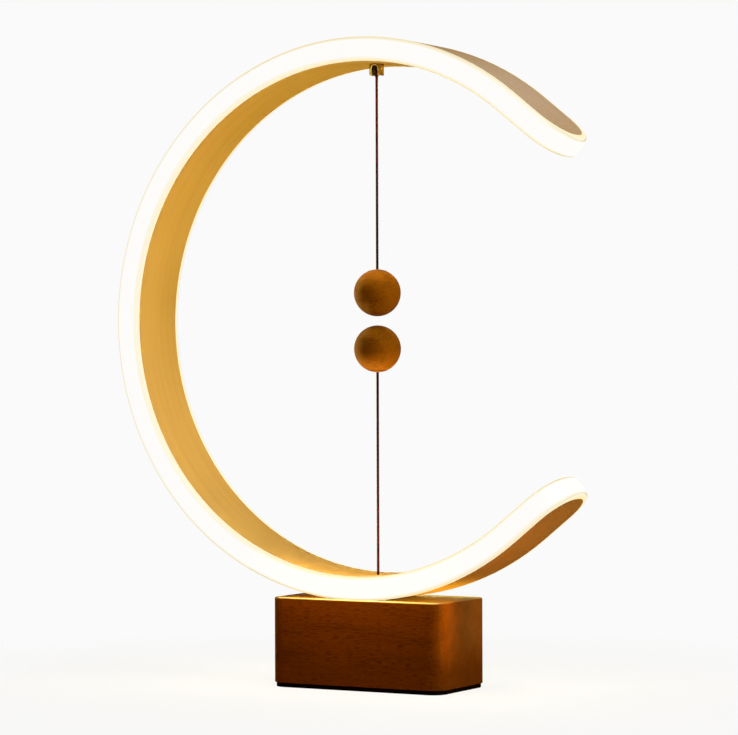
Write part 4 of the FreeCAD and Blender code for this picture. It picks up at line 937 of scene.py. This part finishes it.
def rim_light():
    """Bands that light what the rim would: the wood inside and outside the ring, and the room."""
    warm = colour("#FFEE88")
    gap, inset, near, far = 0.3 * MM, 3 * MM, 21 * MM, 25 * MM
    on_wood, on_room = 40, 14
    inner, outer = rim_line(RING_INNER - gap), rim_line(RING_OUTER + gap)
    light_band("inner_glow_front", inner, -far, inner, -near, on_wood, warm)
    light_band("inner_glow_back", inner, near, inner, far, on_wood, warm)
    # In reflections the outer two would stand out as hard white patches
    for band in (light_band("outer_glow_front", outer, -near, outer, -far, on_wood, warm),
                 light_band("outer_glow_back", outer, far, outer, near, on_wood, warm)):
        band.visible_glossy = False
    low, high, face = rim_line(RING_INNER + inset), rim_line(RING_OUTER - inset), RING_HALF + gap
    light_band("face_glow_front", high, -face, low, -face, on_room, warm)
    light_band("face_glow_back", low, face, high, face, on_room, warm)


def base_light():
    """Bands over the base, for the light that the rim spills on it and that it throws back."""
    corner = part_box("base_body")[1]
    ends = (3.5 * MM - corner.x, corner.x - 3.5 * MM)
    shelf, ledge, brim = (
        level_line(ends, corner.z + rise * MM) for rise in (0.02, 2.2, 7.2))
    beside_ring, off_base = RING_HALF + 0.2 * MM, corner.y + 1 * MM
    gold = colour("#FFF070")
    for name, y, first, second, strength in (
            ("spill_front_a", -beside_ring, shelf, brim, 3.4),
            ("spill_front_b", off_base, shelf, ledge, 1.8),
            ("spill_back_a", beside_ring, brim, shelf, 3.4),
            ("spill_back_b", -off_base, ledge, shelf, 1.8)):
        light_band(name, first, y, second, y, strength, gold)
    # Each patch's two ends along X, in millimetres
    half_depth, over_base = 24 * MM, 0.5 * MM
    for name, start, end, strength, tone in (
            ("bounce_near", 14, 34, 1.1, "#FFC848"), ("bounce_far", 34, 58, 1.8, "#FFC030"),
            ("bounce_back", -58, -27, 1.6, "#FFB428")):
        line = level_line((start * MM, end * MM), corner.z + over_base)
        light_band(name, line, -half_depth, line, half_depth, strength, colour(tone))


def panel_light(name, shape, across, high, power, tone, place, aim, spread=180):
    """A lit panel at a place, turned to what it lights and not seen by the camera."""
    lamp = bpy.data.lights.new(name, "AREA")
    lamp.shape, lamp.size, lamp.size_y = shape, across, high
    lamp.energy, lamp.color, lamp.spread = power, colour(tone)[:3], math.radians(spread)
    holder = bpy.data.objects.new(name, lamp)
    turn = (place - aim).to_track_quat("Z", "Y").to_matrix().to_4x4()
    holder.matrix_world = Matrix.Translation(place) @ turn
    holder.visible_camera = False
    bpy.context.scene.collection.objects.link(holder)


def studio_light():
    """Two large soft lights, and small strips close to the lamp."""
    middle, distance = Vector((0, 0, 0.2)), 1.6
    for name, azimuth, elevation, across, power, tone in (
            ("side_softbox", 84, 0, 0.4, 7.0, "#FFE2B4"),
            ("top_softbox", 70, 62, 1.0, 12.0, "#FFFFFF")):
        turn, rise = math.radians(azimuth), math.radians(elevation)
        back = Vector((
            math.sin(turn) * math.cos(rise), -math.cos(turn) * math.cos(rise), math.sin(rise)))
        panel_light(name, "DISK", across, across, power, tone, back * distance + middle, middle)
    # Over the front of the base, beside its corners, under the low tip, inside the ring under
    # and over the balls, and a cool one over the high tip; places and sizes in millimetres
    warm, amber, cool = "#FFC860", "#FF9030", "#6C95FF"
    for name, across, high, power, tone, place, aim in (
            ("front_strip", 120, 14, 0.056, warm, (0, -54, 100), (0, -31, 54)),
            ("corner_strip", 4, 40, 0.0045, warm, (74, -27, 42), (59, -20, 40)),
            ("back_strip", 4, 40, 0.003, warm, (76, 38, 42), (59, 26, 40)),
            ("table_strip", 50, 50, 0.009, amber, (135, -45, 22), (108, 0, 105)),
            ("low_strip", 60, 30, 0.05, warm, (0, 0, 88), (0, 0, 207)),
            ("high_strip", 60, 30, 0.025, warm, (0, 0, 362), (0, 0, 241)),
            ("tip_strip", 50, 50, 0.036, cool, (162, -10, 440), (100, 0, 361))):
        panel_light(name, "RECTANGLE", across * MM, high * MM, power, tone,
                    Vector(place) * MM, Vector(aim) * MM, spread=110)


def long_lens():
    """A camera at about half the lamp's height, swung round from the front to the open side."""
    lens = bpy.data.cameras.new("long_lens")
    lens.sensor_fit, lens.sensor_width, lens.lens = "HORIZONTAL", 36.0, 147.13
    lens.clip_start, lens.clip_end = 0.05, 100.0
    aim, distance = Vector((-6.03, 0, 195.86)) * MM, 1.8549
    turn, dip, roll = math.radians(29.17), math.radians(0.047), math.radians(-0.179)
    right = Vector((math.cos(turn), math.sin(turn), 0))
    ahead = Vector((
        -math.sin(turn) * math.cos(dip), math.cos(turn) * math.cos(dip), -math.sin(dip)))
    up = right.cross(ahead)
    side = math.cos(roll) * right + math.sin(roll) * up
    rise = math.cos(roll) * up - math.sin(roll) * right
    camera = bpy.data.objects.new("long_lens", lens)
    camera.matrix_world = Matrix.Translation(aim - ahead * distance) @ Matrix((
        (side.x, rise.x, -ahead.x), (side.y, rise.y, -ahead.y),
        (side.z, rise.z, -ahead.z))).to_4x4()
    bpy.context.scene.collection.objects.link(camera)
    return camera


class LAMP_OT_stage(bpy.types.Operator):
    """Pale floor, soft light, the lamp's own light and the camera"""
    bl_idname = "lamp.stage"
    bl_label = "Stage"

    def execute(self, context):
        scene = context.scene
        scene.view_settings.view_transform = "Standard"
        scene.world = pale_world()
        pale_floor()
        rim_light()
        base_light()
        studio_light()
        scene.camera = long_lens()
        return {"FINISHED"}


class LAMP_PT_panel(bpy.types.Panel):
    """Lists the lamp's pieces in the order in which they are made"""
    bl_label = "Balance Lamp"
    bl_idname = "LAMP_PT_panel"
    bl_space_type = "VIEW_3D"
    bl_region_type = "UI"
    bl_category = "Balance Lamp"

    def draw(self, context):
        for group in (sizes(), colours()):
            box = self.layout.box()
            for name in group.__annotations__:
                box.prop(group, name)
        for made in OPERATORS:
            self.layout.operator(made.bl_idname)


OPERATORS = (
    LAMP_OT_cords, LAMP_OT_loops, LAMP_OT_wood, LAMP_OT_rim, LAMP_OT_hardware, LAMP_OT_bends,
    LAMP_OT_mat, LAMP_OT_trim, LAMP_OT_stage,
)
CLASSES = (LampSizes, LampColours, *OPERATORS, LAMP_PT_panel)


def register():
    for made in CLASSES:
        bpy.utils.register_class(made)
    bpy.types.Scene.balance_lamp_sizes = PointerProperty(type=LampSizes)
    bpy.types.Scene.balance_lamp_colours = PointerProperty(type=LampColours)


def unregister():
    del bpy.types.Scene.balance_lamp_colours
    del bpy.types.Scene.balance_lamp_sizes
    for made in reversed(CLASSES):
        bpy.utils.unregister_class(made)


def main():
    register()
    for made in OPERATORS:
        group, name = made.bl_idname.split(".")
        getattr(getattr(bpy.ops, group), name)()


if __name__ == "__main__":
    main()
